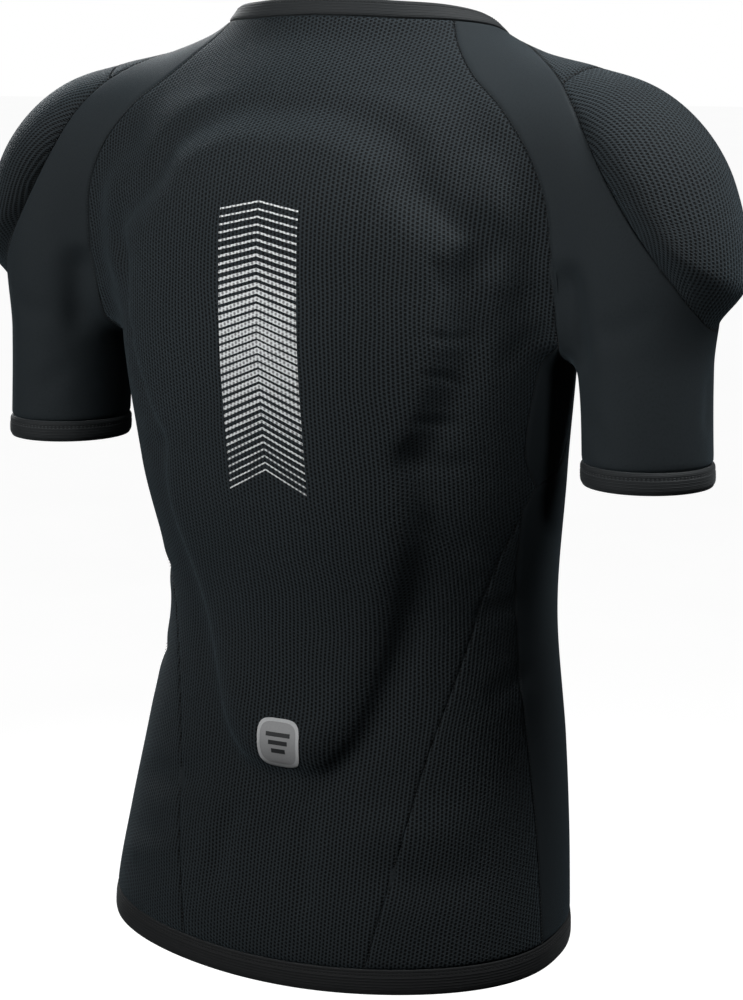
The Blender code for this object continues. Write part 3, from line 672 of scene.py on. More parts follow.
# Soft troughs, or ridges where the depth is below zero, each through three places on the cloth.
# The table is in millimetres
Crease = namedtuple("Crease", "start bend end width depth")
CREASE_ROWS = (
    # over the shoulder blades, on the wearer's right and left
    ((-142, 80, -66), (-157, 80, -132), (-146, 84, -206), 22, -5.8),
    ((141, 80, -72), (157, 78, -138), (149, 82, -198), 23, -4.8),
    ((-119, 101, -146), (-121, 100, -160), (-124, 97, -178), 6, 1.8),
    # short pulls across the valleys beside the protector
    ((-112, 105, -196), (-127, 96, -203), (-146, 84, -200), 5, 1.3),
    ((-108, 105, -226), (-122, 97, -229), (-138, 86, -238), 4.6, 1.2),
    ((-100, 105, -256), (-116, 97, -262), (-136, 84, -262), 5.2, 1.4),
    ((112, 105, -206), (128, 96, -211), (148, 83, -214), 5, 1.2),
    ((104, 105, -244), (120, 97, -251), (140, 84, -250), 4.8, 1.3),
    # from the protector's waist outwards
    ((-90, 102, -284), (-112, 92, -290), (-140, 70, -292), 10, 1.4),
    ((90, 102, -287), (112, 94, -294), (134, 78, -299), 11, 1.6),
    ((-98, 99, -325), (-120, 86, -345), (-140, 66, -372), 14, 1.6),
    # from the protector's foot to the side, and down to the hem
    ((-50, 105, -548), (-100, 94, -556), (-156, 50, -540), 20, -1.8),
    ((-64, 108, -578), (-110, 94, -590), (-160, 56, -580), 18, 1.4),
    ((-20, 106, -548), (-22, 110, -585), (-30, 118, -632), 11, 1.5),
    ((34, 104, -545), (46, 106, -580), (52, 112, -628), 13, 1.8),
    ((60, 100, -520), (104, 90, -545), (150, 52, -548), 15, 2.2),
    ((78, 104, -585), (118, 92, -604), (156, 62, -606), 13, -1.8),
    # armpits, behind and in front
    ((-194, 68, -146), (-199, 62, -188), (-200, 50, -238), 16, 5.2),
    ((193, 68, -152), (199, 62, -190), (201, 50, -232), 16.5, 4.6),
    ((-186, 60, -196), (-170, 68, -216), (-150, 78, -226), 12, 1.4),
    ((186, 60, -192), (168, 68, -206), (150, 78, -212), 11.5, 1.3),
    ((-186, -52, -160), (-196, -52, -188), (-205, -48, -220), 14, 2.6),
    ((186, -52, -158), (197, -52, -190), (206, -48, -216), 14.5, 3),
    ((-170, -64, -186), (-140, -92, -176), (-104, -108, -158), 13, 2.4),
    ((172, -62, -190), (146, -88, -184), (116, -104, -170), 12, 2.7),
    ((166, -60, -214), (136, -94, -214), (98, -112, -204), 14, 1.6),
    # sleeves
    ((-214, 62, -200), (-240, 64, -194), (-262, 50, -178), 12, 0.8),
    ((-204, 60, -250), (-214, 62, -268), (-236, 62, -284), 11, 0.7),
    ((212, 62, -206), (236, 66, -206), (262, 50, -196), 12.5, 0.9),
    ((206, 58, -240), (222, 62, -258), (246, 58, -270), 11.5, 0.8),
    ((-214, -44, -208), (-238, -44, -212), (-262, -34, -204), 9, 1.8),
    ((214, -44, -214), (236, -44, -220), (258, -36, -218), 10, 1.6),
    ((-282, 10, -222), (-284, 14, -246), (-282, 18, -272), 9, 1.2),
    ((281, 0, -218), (283, 10, -250), (281, 22, -276), 9.5, 1.3),
    # the waist in front and at the sides
    ((-140, -90, -372), (-90, -116, -384), (-30, -120, -380), 13, 2.2),
    ((146, -80, -380), (100, -112, -394), (48, -120, -398), 14, 2.6),
    ((-146, -70, -424), (-96, -108, -436), (-50, -118, -432), 13, 2.4),
    ((144, -72, -432), (90, -112, -450), (20, -120, -446), 15, 2),
    ((-150, -66, -474), (-106, -104, -490), (-66, -116, -494), 14, 1.8),
    ((152, -60, -488), (118, -100, -506), (78, -112, -512), 13, 2),
    ((-158, 10, -396), (-152, 44, -404), (-132, 66, -402), 11, 1.8),
    ((157, 4, -388), (152, 40, -398), (134, 64, -404), 11, 2.2),
    ((-156, 0, -448), (-152, 34, -456), (-138, 58, -460), 12, 1.5),
    ((157, -10, -452), (154, 30, -462), (140, 56, -462), 12, 1.7),
    # down to the hem in front
    ((-120, -96, -560), (-128, -90, -590), (-138, -80, -620), 12, 1.8),
    ((-44, -106, -552), (-40, -102, -584), (-34, -98, -616), 14, 1.4),
    ((64, -104, -546), (74, -100, -580), (80, -92, -618), 13, 1.9),
    ((150, -60, -552), (160, -46, -584), (168, -30, -616), 12, 1.6),
    # over the chest
    ((-100, -100, -120), (-88, -112, -150), (-86, -118, -190), 15, 1.4),
    ((96, -100, -116), (88, -112, -146), (92, -118, -180), 14, 1.6),
)
CREASES = [Crease(*(np.array(value) / 1000 for value in row)) for row in CREASE_ROWS]
CREASE_SAMPLES = 11
CREASE_FADE = 0.30


def crease_lines():
    """Each crease's line on the form, bent through its three places."""
    lines = []
    share = np.linspace(0, 1, CREASE_SAMPLES)[:, None]
    for crease in CREASES:
        start, bend, end = crease[:3]
        pull = 2 * bend - (start + end) / 2
        path = start * (1 - share) ** 2 + pull * 2 * share * (1 - share) + end * share**2
        lines.append(settle(path))
    return lines


def crease_lift(points):
    """How far the creases move each point outwards."""
    flat = points.reshape(-1, 3)
    lift = np.zeros(len(flat))
    for crease, line in zip(CREASES, crease_paths):
        reach = 3 * crease.width
        near = np.flatnonzero(((flat > line.min(0) - reach) & (flat < line.max(0) + reach)).all(1))
        if not len(near):
            continue
        runs = np.diff(line, axis=0)
        share = np.einsum("nsk,sk->ns", flat[near, None] - line[:-1], runs) / (runs * runs).sum(1)
        share = np.clip(share, 0, 1)
        gaps = np.linalg.norm(flat[near, None] - line[:-1] - share[..., None] * runs, axis=2)
        best = gaps.argmin(1)
        rows = np.arange(len(near))
        place = (best + share[rows, best]) / len(runs)
        fade = smooth_step(place / CREASE_FADE) * smooth_step((1 - place) / CREASE_FADE)
        q = (gaps[rows, best] / crease.width) ** 2
        lift[near] -= crease.depth * fade * (1 - q) * np.exp(-q)
    return lift.reshape(points.shape[:-1])


# Relief over the pads

def outline_of(levels, below=None):
    """A closed outline across and up, from half widths at each level."""
    half = [(0.0, levels[0].z)] + [(v.half_width, v.z) for v in levels]
    half += [] if below is None else [(v.half_width, v.z) for v in below]
    half += [(0.0, half[-1][1])]
    knots = np.arange(len(half), dtype=float)
    fine = curve_through(knots, half)(np.linspace(0, knots[-1], OUTLINE_FINENESS * len(half)))
    return np.vstack([fine, fine[::-1] * [-1, 1]])


def inside_by(points, outline):
    """How far inside an outline points are, seen from behind, below zero outside it."""
    flat = points.reshape(-1, 3)[:, [0, 2]]
    result = np.empty(len(flat))
    starts, runs = outline[:-1], np.diff(outline, axis=0)
    keep = (runs * runs).sum(1) > 1e-14
    starts, runs = starts[keep], runs[keep]
    for rows in np.array_split(np.arange(len(flat)), max(1, len(flat) // POINTS_AT_ONCE)):
        away = flat[rows, None] - starts
        share = np.clip((away * runs).sum(2) / (runs * runs).sum(1), 0, 1)
        gap = np.linalg.norm(away - share[..., None] * runs, axis=2).min(1)
        x, z = flat[rows, 0:1], flat[rows, 1:2]
        z0, z1 = starts[:, 1], starts[:, 1] + runs[:, 1]
        crosses = (z0 > z) != (z1 > z)
        safe = np.where(np.abs(runs[:, 1]) < 1e-9, 1e-9, runs[:, 1])
        at_x = starts[:, 0] + (z - z0) / safe * runs[:, 0]
        inside = (crosses & (x < at_x)).sum(1) % 2 == 1
        result[rows] = np.where(inside, gap, -gap)
    return result.reshape(points.shape[:-1])


protector_levels = list(reversed(PROTECTOR))
protector_at = curve_through([v.z for v in protector_levels], [v[1:] for v in protector_levels])
roll_at = curve_through([r.z for r in ROLLS], [r[1:] for r in ROLLS])


def bell(x, place, width):
    return np.exp(-(((x - place) / width) ** 2))


def protector_rise(points):
    """How proud the cloth stands over the back protector."""
    z = points[..., 2]
    height = protector_at(z)[..., 1]
    width, tent_share, valley = np.moveaxis(roll_at(z), -1, 0)
    edge = inside_by(points, protector_outline)
    plate = inside_by(points, plate_outline)
    start = np.clip((edge + PROTECTOR_EDGE / 2) / width, 0, 1)
    start = start * start / (start + ROLL_SOFT) * (1 + ROLL_SOFT)
    step = 1 - (1 - start) ** ROLL_FALL
    tent = smooth_step((edge + TENT_REACH) / (TENT_REACH + PROTECTOR_EDGE)) ** 2
    thick = 1 - PLATE_SHARE * (1 - smooth_step(plate / PLATE_EDGE + 0.5))
    rise = height * ((1 - tent_share) * step + tent_share * tent) * thick
    rise -= valley * bell(edge, -VALLEY_PLACE, VALLEY_WIDTH)
    shelf = SHELF_SHARE * smooth_step((plate + SHELF_START) / (SHELF_START - SHELF_EDGE))
    shelf *= 1 - SHELF_FALL * smooth_step((plate + SHELF_EDGE) / SHELF_EDGE)
    climb = smooth_step(plate / PLATE_CLIMB)
    upper = smooth_step((z - SHELF_FOOT_Z) / SHELF_FADE + 0.5)
    rise += upper * (height * (shelf * (1 - climb) + climb) - rise)
    return np.where(points[..., 1] > trunk_at(z)[..., 1], rise, 0)


def crown_of(down_shares, across_shares):
    """How proud the cloth stands over a shoulder pad."""
    down_share = down_shares[:, None]
    across = 2 * across_shares[None] - 1
    rising = smooth_step(down_share / CROWN_RISE)
    falling = smooth_step((1 - down_share) / CROWN_FALL)
    return POCKET_RISE * rising * falling * (1 - np.abs(across) ** CROWN_FLATNESS)


# Panels of cloth as grids: their points, places in the cut cloth, and rise over a pad
Panel = namedtuple("Panel", "points cut rise")


def cut_of(points, reference):
    """Places in the flat cloth: across from a reference column, and up along it."""
    across = np.linalg.norm(np.diff(points, axis=1), axis=2)
    across = np.hstack([np.zeros((len(points), 1)), np.cumsum(across, axis=1)])
    across = across - across[:, reference:reference + 1]
    drop = lengths_along(points[:, reference])
    return np.stack([across, np.repeat(-drop[:, None], points.shape[1], axis=1)], -1)


def panel(points, reference=None, rise=None):
    reference = points.shape[1] // 2 if reference is None else reference
    rise = np.zeros(points.shape[:2]) if rise is None else rise
    return Panel(points, cut_of(points, reference), rise)


def trunk_panel(edge_start, edge_end, middle_turn, middle_top_z, middle_foot_z, width):
    """A panel across the trunk between two edges, dipping or rising to its middle."""
    v = steps(lengths_along(edge_end)[-1])
    u = steps(width)
    near, far = along(edge_start, v), along(edge_end, v)
    side = 2 * u - 1
    spread_turn = turn_of(far) - middle_turn
    turns = middle_turn + spread_turn[:, None] * side
    edge_z = far[:, 2]
    middle_z = np.interp(edge_z, [edge_z[-1], edge_z[0]], [middle_foot_z, middle_top_z])
    zs = middle_z[:, None] + (edge_z - middle_z)[:, None] * side**2
    return patch(trunk_point(turns, zs), neckline(turns[0]), hem_seam(turns[-1]), near, far, v, u)


def back_panel(lines):
    edge = down(lines["back_raglan"], lines["gusset_back"], lines["notch"], lines["side_back"])
    grid = trunk_panel(mirrored(edge), edge, 0.0, NECKLINE[0].z, float(hem_z(0.0)), BACK_WIDTH)
    return panel(grid, rise=protector_rise(grid))


def front_panel(lines):
    edge = down(lines["front_raglan"], lines["gusset_front"], lines["notch"], lines["side_front"])
    return panel(trunk_panel(edge, mirrored(edge), pi, NECKLINE[-1].z, float(hem_z(pi)), FRONT_WIDTH))


def side_panel(lines):
    v = steps(lengths_along(lines["side_back"])[-1])
    u = steps(SIDE_WIDTH)
    near, far = along(lines["side_back"], v), along(lines["side_front"], v)
    turns = turn_of(near)[:, None] * (1 - u) + turn_of(far)[:, None] * u
    zs = near[:, None, 2] * (1 - u) + far[:, None, 2] * u
    top = np.repeat(near[:1], len(u), axis=0)
    return panel(patch(trunk_point(turns, zs), top, hem_seam(turns[-1]), near, far, v, u))


def quilt(top, foot, left, right):
    """A panel between four seams, and the shares at which its rows and columns lie."""
    v = steps(lengths_along(left)[-1])
    u = steps(max(lengths_along(top)[-1], lengths_along(foot)[-1]))
    return patch(None, along(top, u), along(foot, u), along(left, v), along(right, v), v, u), v, u


def neck_run(start, end):
    return neckline(np.radians(np.linspace(start, end, SEAM_SAMPLES)))


def gusset_panel(lines):
    top, near, far = lines["underarm"], lines["gusset_back"], lines["gusset_front"]
    v = steps(lengths_along(near)[-1])
    u = steps(lengths_along(top)[-1])
    foot = np.repeat(near[-1:], len(u), axis=0)
    return panel(patch(None, along(top, u), foot, along(near, v), along(far, v), v, u))


def yoke_panel(lines):
    top = neck_run(YOKE_BACK_TURN, YOKE_FRONT_TURN)
    return panel(quilt(top, lines["yoke_foot"], lines["yoke_back"], lines["yoke_front"])[0])


def pocket_panel(lines):
    names = ("yoke_foot", "pocket_foot", "pocket_back", "pocket_front")
    points, v, u = quilt(*(lines[name] for name in names))
    return panel(points, rise=crown_of(v, u)), v, u


def arm_ring(z, turns):
    """Points round the sleeve, level with z; a turn of zero is on its outer side."""
    place = np.interp(-z, -arm_line[:, 2], arm_along)
    x, y, _, across, deep = arm_at(place)
    ring = settle(np.column_stack([x + across * np.cos(turns), y + deep * np.sin(turns), z + 0 * turns]))
    ring[:, 2] = z
    return ring


def sleeve_panels(lines):
    """The sleeve's two bands over the shoulder, and the tube below them that ends at the cuff."""
    top_back = neck_run(BACK_RAGLAN_TURN, YOKE_BACK_TURN)
    top_front = neck_run(YOKE_FRONT_TURN, FRONT_RAGLAN_TURN)
    yoke_back = down(lines["yoke_back"], lines["pocket_back"])
    yoke_front = down(lines["yoke_front"], lines["pocket_front"])
    back, _, u_back = quilt(top_back, lines["sleeve_back"], lines["back_raglan"], yoke_back)
    front, _, u_front = quilt(top_front, lines["sleeve_front"], yoke_front, lines["front_raglan"])
    runs = [
        along(lines["sleeve_back"], u_back),
        along(lines["pocket_foot"], steps(lengths_along(lines["pocket_foot"])[-1])),
        along(lines["sleeve_front"], u_front),
        along(lines["underarm"][::-1], steps(lengths_along(lines["underarm"])[-1])),
    ]
    head = down(*runs)
    head[-1] = head[0]
    middle = np.array([ARM[-3].x, ARM[-3].y])
    turns = np.unwrap(np.arctan2(head[:-1, 1] - middle[1], head[:-1, 0] - middle[0]))
    reach = lengths_along(head)
    even = turns[0] - 2 * pi * reach[:-1] / reach[-1]
    turns = CUFF_TURN_SHARE * turns + (1 - CUFF_TURN_SHARE) * even
    cuff = arm_ring(CUFF_SEAM_Z, turns)
    cuff = np.vstack([cuff, cuff[:1]])
    v = steps(TUBE_LENGTH)[:, None, None]
    tube = settle(head * (1 - v) + cuff * v)
    tube[0] = head
    tube[-1] = cuff
    tube[:, -1] = tube[:, 0]
    return [panel(back, 0), panel(front, 0), panel(tube, 0)]


# Meshes

def cells(rows, columns):
    """The corners of each cell of a grid of points, as places down and across it."""
    starts = np.ndindex(rows - 1, columns - 1)
    return [((i, j), (i + 1, j), (i + 1, j + 1), (i, j + 1)) for i, j in starts]


def joined(panels):
    """Panels joined into one sheet: points, rise, faces, and the cut place of each face corner."""
    places = {}
    points = []
    rises = []
    faces = []
    corners = []
    for piece in panels:
        index = np.zeros(piece.rise.shape, int)
        keys = np.round(piece.points, 6)
        for place in np.ndindex(index.shape):
            key = tuple(keys[place])
            if key not in places:
                places[key] = len(points)
                points.append(piece.points[place])
                rises.append(piece.rise[place])
            index[place] = places[key]
        for cell in cells(*index.shape):
            face = {}
            for place in cell:
                face.setdefault(int(index[place]), piece.cut[place])
            if len(face) > 2:
                faces.append(tuple(face))
                corners.append(list(face.values()))
    return np.array(points), np.array(rises), faces, corners


def rim_edges(faces):
    """The directed edges that belong to one face only, with that face's number."""
    edges = {}
    for number, face in enumerate(faces):
        for a, b in zip(face, face[1:] + face[:1]):
            edges[(a, b)] = number
    return [(a, b, number) for (a, b), number in edges.items() if (b, a) not in edges]


def drawn_in(points, faces, gap):
    """The sheet's points, with its edge drawn in by half a seam gap."""
    sides = {}
    for a, b, number in rim_edges(faces):
        run = unit(points[b] - points[a])
        inward = points[list(faces[number])].mean(0) - points[a]
        inward = unit(inward - run * (inward @ run))
        sides.setdefault(a, []).append(inward)
        sides.setdefault(b, []).append(inward)
    moved = points.copy()
    for corner, inwards in sides.items():
        first, second = inwards[0], inwards[-1]
        moved[corner] += gap / 2 * (first + second) / max(1 + first @ second, LEAST_MITRE)
    return moved


def add_mesh(name, points, faces, corners, look):
    """A named mesh with its material, and the places in the cut cloth as a UV map."""
    mesh = bpy.data.meshes.new(name)
    mesh.from_pydata(np.asarray(points).tolist(), [], faces)
    layer = mesh.uv_layers.new(name="cloth")
    places = np.concatenate([np.asarray(corner, float) for corner in corners])
    layer.uv.foreach_set("vector", places.astype(np.float32).ravel())
    mesh.shade_smooth()
    mesh.set_sharp_from_angle(angle=SHARP_ANGLE)
    mesh.materials.append(look)
    piece = bpy.data.objects.new(name, mesh)
    bpy.context.scene.collection.objects.link(piece)
    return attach(piece, "root")


def turned_over(*lists):
    """Faces, and the lists that go with them, wound the other way round."""
    return [[item[::-1] for item in items] for items in lists]


def faces_in(faces, outer, inner):
    """Whether the faces of the outer sheet, of which some are tried, face the inner one."""
    facing = 0.0
    for face in faces[:: max(1, len(faces) // FACES_TRIED)]:
        first, second, third = (outer[i] for i in face[:3])
        facing += np.cross(second - first, third - first) @ (first - inner[face[0]])
    return facing < 0


def shell(name, outer, inner, faces, corners, look):
    """A closed thin piece whose skin is two matching sheets, joined round their edges."""
    count = len(outer)
    if faces_in(faces, outer, inner):
        faces, corners = turned_over(faces, corners)
    under, under_corners = turned_over(faces, corners)
    under = [tuple(i + count for i in face) for face in under]
    rim = []
    rim_corners = []
    for a, b, number in rim_edges(faces):
        place = dict(zip(faces[number], corners[number]))
        rim.append((b, a, a + count, b + count))
        rim_corners.append([place[b], place[a], place[a], place[b]])
    all_faces = list(faces) + under + rim
    all_corners = list(corners) + under_corners + rim_corners
    return add_mesh(name, np.vstack([outer, inner]), all_faces, all_corners, look)


def seam_groove(points):
    """How far the cloth turns under, near a seam."""
    drop = np.zeros(len(points))
    for i, point in enumerate(points):
        gap = seam_tree.find(Vector(point))[2]
        if gap < SEAM_WIDTH:
            drop[i] = SEAM_DROP * (1 - gap / SEAM_WIDTH) ** 2
    return drop


def raised(piece):
    """A panel as it lies over its pad."""
    return piece._replace(points=piece.points + unit(outward(piece.points)) * piece.rise[..., None])


def size_of(panels):
    """The widest and longest run of the cloth, and its area, as worn."""
    widths = [np.linalg.norm(np.diff(p.points, axis=1), axis=2).sum(1).max() for p in panels]
    lengths = [np.linalg.norm(np.diff(p.points, axis=0), axis=2).sum(0).max() for p in panels]
    area = 0.0
    for p in panels:
        a, b, c, d = p.points[:-1, :-1], p.points[1:, :-1], p.points[1:, 1:], p.points[:-1, 1:]
        area += np.linalg.norm(np.cross(c - a, d - b), axis=2).sum() / 2
    length = max(lengths) if len(panels) == 1 else max(lengths[:-1]) + lengths[-1]
    return float(max(widths)), float(length), float(area)


def cloth(name, panels, look, node):
    """A panel of cloth: a shell on the form, with its pad's relief, creases and turned edges."""
    points, rise, faces, corners = joined(panels)
    groove = seam_groove(points)
    points = drawn_in(points, faces, SEAM_GAP)
    out = unit(outward(points))
    outer = points + out * (rise + crease_lift(points) - groove)[:, None]
    inner = points + out * (rise + crease_lift(points) - WALL)[:, None]
    piece = shell(name, outer, inner, faces, corners, look)
    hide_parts(node)
    width, length, area = size_of([raised(part) if part.rise.any() else part for part in panels])
    return outer


def flipped(panels):
    """Panels mirrored to the wearer's right."""
    return [Panel(mirrored(p.points)[:, ::-1], p.cut[:, ::-1] * [-1, 1], p.rise[:, ::-1]) for p in panels]


def both_sides(name, panels, look):
    """The same cloth on the wearer's left and right."""
    for side, pieces in (("left", panels), ("right", flipped(panels))):
        cloth(f"{name}_{side}_cloth", pieces, look, f"{name}_{side}")


# Bands

def band_profile(height, proud, ridge, rows):
    """The outline of a rolled band across its height: (drop, lift) round a closed loop."""
    half = BAND_WALL / 2
    drops = np.linspace(SEAM_GAP, height - half, ceil(height / BAND_CELL))
    share = (drops - drops[0]) / (drops[-1] - drops[0])
    lift = proud * (1 - np.abs(2 * share - 1) ** BAND_SQUARENESS)
    ridges = ridge * np.cos(2 * pi * drops / BAND_RIB)
    lift += ridges * smooth_step(4 * share) * smooth_step(4 * (1 - share))
    for row in rows:
        lift -= ROW_DIP * bell(drops, row, ROW_DIP_WIDTH)
    outer = np.column_stack([drops, lift])
    angles = np.radians(np.arange(30, 180, 30))
    bottom = np.column_stack([height - half + half * np.sin(angles), -half + half * np.cos(angles)])
    inner_drops = np.linspace(height - half, SEAM_GAP, BAND_INNER_STEPS)
    inner = np.column_stack([inner_drops, np.full(BAND_INNER_STEPS, -BAND_WALL)])
    return np.vstack([outer, bottom, inner])


def band(name, rings, height, profile, look, node):
    """A rolled band swept round an opening, through rings of points at even drops."""
    rings = np.array(rings)
    outs = unit(outward(rings))
    levels = np.linspace(0, height, len(rings))

    def at(drop, lift):
        k = min(int(np.searchsorted(levels, drop, side="right")) - 1, len(levels) - 2)
        t = (drop - levels[k]) / (levels[1] - levels[0])
        point = rings[k] * (1 - t) + rings[k + 1] * t
        return point + unit(outs[k] * (1 - t) + outs[k + 1] * t) * lift

    loops = np.array([at(drop, lift) for drop, lift in profile])
    count, around = loops.shape[:2]
    reach = lengths_along(np.vstack([rings[0], rings[0][:1]]))
    height_at = lengths_along(np.column_stack([profile, np.zeros(count)]))
    height_at = np.r_[height_at, height_at[-1] + BAND_WALL]
    closed = cells(count + 1, around + 1)
    faces = [tuple(i % count * around + j % around for i, j in cell) for cell in closed]
    corners = [[(reach[j], -height_at[i]) for i, j in cell] for cell in closed]
    points = loops.reshape(-1, 3)
    # One face of the outer side, a third of the way round, tells which way they all face
    tried = around // 3
    a, b, c = (points[i] for i in faces[tried + 6 * around][:3])
    if np.cross(b - a, c - a) @ outs[0][tried] < 0:
        faces, corners = turned_over(faces, corners)
    piece = add_mesh(name, points, faces, corners, look)
    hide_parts(node)
    return at


def ring_turns(count):
    return np.linspace(0, 2 * pi, count, endpoint=False)


def hem_rings(count):
    turns = ring_turns(count)
    return [settle(trunk_point(turns, hem_z(turns) - drop)) for drop in np.linspace(0, HEM_BAND, 9)]


def cuff_rings(count):
    turns = ring_turns(count)
    return [arm_ring(z, turns) for z in np.linspace(CUFF_SEAM_Z, CUFF_SEAM_Z - CUFF_BAND, 7)]


def collar_rings(count):
    """Rings from the neck seam up, so that a drop is a rise here."""
    foot = neckline(ring_turns(count))
    out = unit(outward(foot))
    up = unit(np.array([0, 0, 1.0]) - out * out[:, 2:])
    return [settle(foot + up * rise) for rise in np.linspace(0, COLLAR_BAND, 7)]


# Thread

def threads(name, paths, ups, look):
    """Short round threads, one for each path, as one mesh of closed pieces."""
    count, rings = paths.shape[:2]
    run = unit(np.gradient(paths, axis=1))
    side = unit(np.cross(run, ups[:, None]))
    up = np.cross(side, run)
    angles = np.arange(THREAD_SIDES) * 2 * pi / THREAD_SIDES
    taper = np.ones(rings)
    taper[[0, -1]] = THREAD_TIP
    spoke = side[:, :, None] * np.cos(angles)[:, None] + up[:, :, None] * np.sin(angles)[:, None]
    points = (paths[:, :, None] + THREAD * taper[:, None, None] * spoke).reshape(-1, 3)
    tube = cells(rings, THREAD_SIDES + 1)
    one = [tuple(i * THREAD_SIDES + j % THREAD_SIDES for i, j in cell) for cell in tube]
    last = (rings - 1) * THREAD_SIDES
    one.append(tuple(range(THREAD_SIDES)))
    one.append(tuple(last + s for s in reversed(range(THREAD_SIDES))))
    size = rings * THREAD_SIDES
    faces = [tuple(i + n * size for i in face) for n in range(count) for face in one]
    corners = [[(0.0, 0.0)] * len(face) for face in faces]
    add_mesh(name, points, faces, corners, look)


def line_frames(line, pitch, outs=None):
    """Evenly spaced places along a line: points, directions along it, and outward directions."""
    count = max(2, int(lengths_along(line)[-1] / pitch))
    shares = (np.arange(count) + 0.5) / count
    points = along(line, shares)
    ahead, behind = (along(line, np.clip(shares + step, 0, 1)) for step in (RUN_STEP, -RUN_STEP))
    run = unit(ahead - behind)
    out = unit(outward(points)) if outs is None else unit(along(outs, shares))
    return points, run, out


def ladder_paths(line):
    """Threads that bridge a seam, each a little aslant."""
    points, run, out = line_frames(line, LADDER_PITCH)
    side = np.cross(run, out)
    rise = np.array(LADDER_RISE)
    places = np.linspace(-1, 1, len(rise))
    slant = LADDER_SLANT * np.where(np.arange(len(points)) % 2, 1, -1)
    paths = points[:, None] + side[:, None] * (places * LADDER_REACH)[:, None] + out[:, None] * rise[:, None]
    paths += run[:, None] * (slant[:, None] * places)[..., None]
    return paths, out


def row_paths(line, outs):
    """Running stitches end to end along a line."""
    points, run, out = line_frames(line, ROW_PITCH, outs)
    rise = np.array(ROW_RISE)
    places = np.linspace(-0.5, 0.5, len(rise)) * ROW_STITCH
    return points[:, None] + run[:, None] * places[:, None] + out[:, None] * rise[:, None], out


def stitch_rows(name, band_at, profile, rows, look):
    """Rows of stitches round a band, on its rolled face."""
    paths = []
    ups = []
    for row in rows:
        k = int(np.argmin(np.abs(profile[: len(profile) // 2, 0] - row)))
        line = band_at(row, profile[k, 1])
        above = band_at(row, profile[k, 1] + UP_STEP)
        line, above = np.vstack([line, line[:1]]), np.vstack([above, above[:1]])
        path, out = row_paths(line, above - line)
        paths.append(path)
        ups.append(out)
    threads(name, np.concatenate(paths), np.concatenate(ups), look)


def tape(name, lines, look):
    """Narrow tapes on the inside that cover the seams."""
    points, faces, corners, inner = [], [], [], []
    places = np.linspace(-0.5, 0.5, 4) * TAPE_WIDTH
    for line in lines:
        count = max(3, round(lengths_along(line)[-1] / CELL))
        line = along(line, np.linspace(0, 1, count))
        out = unit(outward(line))
        side = unit(np.cross(np.gradient(line, axis=0), out))
        grid = line[:, None] + side[:, None] * places[:, None]
        grid -= out[:, None] * (WALL + TAPE_GAP)
        start = len(points)
        points += list(grid.reshape(-1, 3))
        inner += list((grid - out[:, None] * TAPE_WALL).reshape(-1, 3))
        for cell in cells(count, len(places)):
            faces.append(tuple(start + i * len(places) + j for i, j in cell))
            corners.append([(places[j], i * CELL) for i, j in cell])
    piece = shell(name, np.array(points), np.array(inner), faces, corners, look)


# Film on the back panel

class BackSurface:
    """Finds points of the finished back panel from places in its cut cloth."""

    def __init__(self, piece, outer):
        self.cut = piece.cut
        self.points = outer.reshape(piece.points.shape)
        self.outs = unit(outward(piece.points))
        self.rows = self.cut[:, 0, 1]

    def at(self, u, v):
        """Points and outward directions at places across and up the cloth."""
        row = np.interp(-v, -self.rows, np.arange(len(self.rows)))
        found = np.empty(u.shape + (6,))
        for place in np.ndindex(u.shape):
            i = min(int(row[place]), len(self.rows) - 2)
            t = row[place] - i
            both = []
            for k in (i, i + 1):
                column = np.interp(u[place], self.cut[k, :, 0], np.arange(self.cut.shape[1]))
                j = min(int(column), self.cut.shape[1] - 2)
                s = column - j
                both.append(np.r_[self.points[k, j] * (1 - s) + self.points[k, j + 1] * s, self.outs[k, j]])
            found[place] = both[0] * (1 - t) + both[1] * t
        return found[..., :3], unit(found[..., 3:])

    def v_of(self, z):
        middle = self.points[:, self.points.shape[1] // 2, 2]
        return float(np.interp(-z, -middle, self.rows))


def film(name, surface, patches, look):
    """Thin pieces that follow the cloth, each from a grid of cut places with a lift."""
    outer, inner, faces, corners = [], [], [], []
    for u, v, lift in patches:
        points, outs = surface.at(u, v)
        start = len(outer)
        outer += list((points + outs * lift).reshape(-1, 3))
        inner += list((points - outs * 2 * FILM).reshape(-1, 3))
        for cell in cells(*u.shape):
            faces.append(tuple(start + i * u.shape[1] + j for i, j in cell))
            corners.append([(u[place], v[place]) for place in cell])
    shell(name, np.array(outer), np.array(inner), faces, corners, look)


def chevron_patches(surface):
    """Chevrons down the spine, thickest in the middle of the stack."""
    top, foot = surface.v_of(PRINT_TOP_Z), surface.v_of(PRINT_FOOT_Z)
    pitch = (top - foot) / CHEVRONS
    across = np.linspace(-PRINT_HALF_WIDTH, PRINT_HALF_WIDTH, CHEVRON_COLUMNS)
    patches = []
    for k in range(CHEVRONS):
        share = (k + 0.5) / CHEVRONS
        swell = sin(pi * share) ** 2
        thick = pitch * (CHEVRON_THIN + (CHEVRON_THICK - CHEVRON_THIN) * swell)
        slope = CHEVRON_DROP * (0.5 + share)
        middle = top - (k + 0.5) * pitch + slope * (0.5 - np.abs(across) / PRINT_HALF_WIDTH)
        v = middle + np.linspace(0.5, -0.5, 3)[:, None] * thick
        u = np.repeat(across[None], 3, axis=0)
        patches.append((u, v, FILM))
    return patches


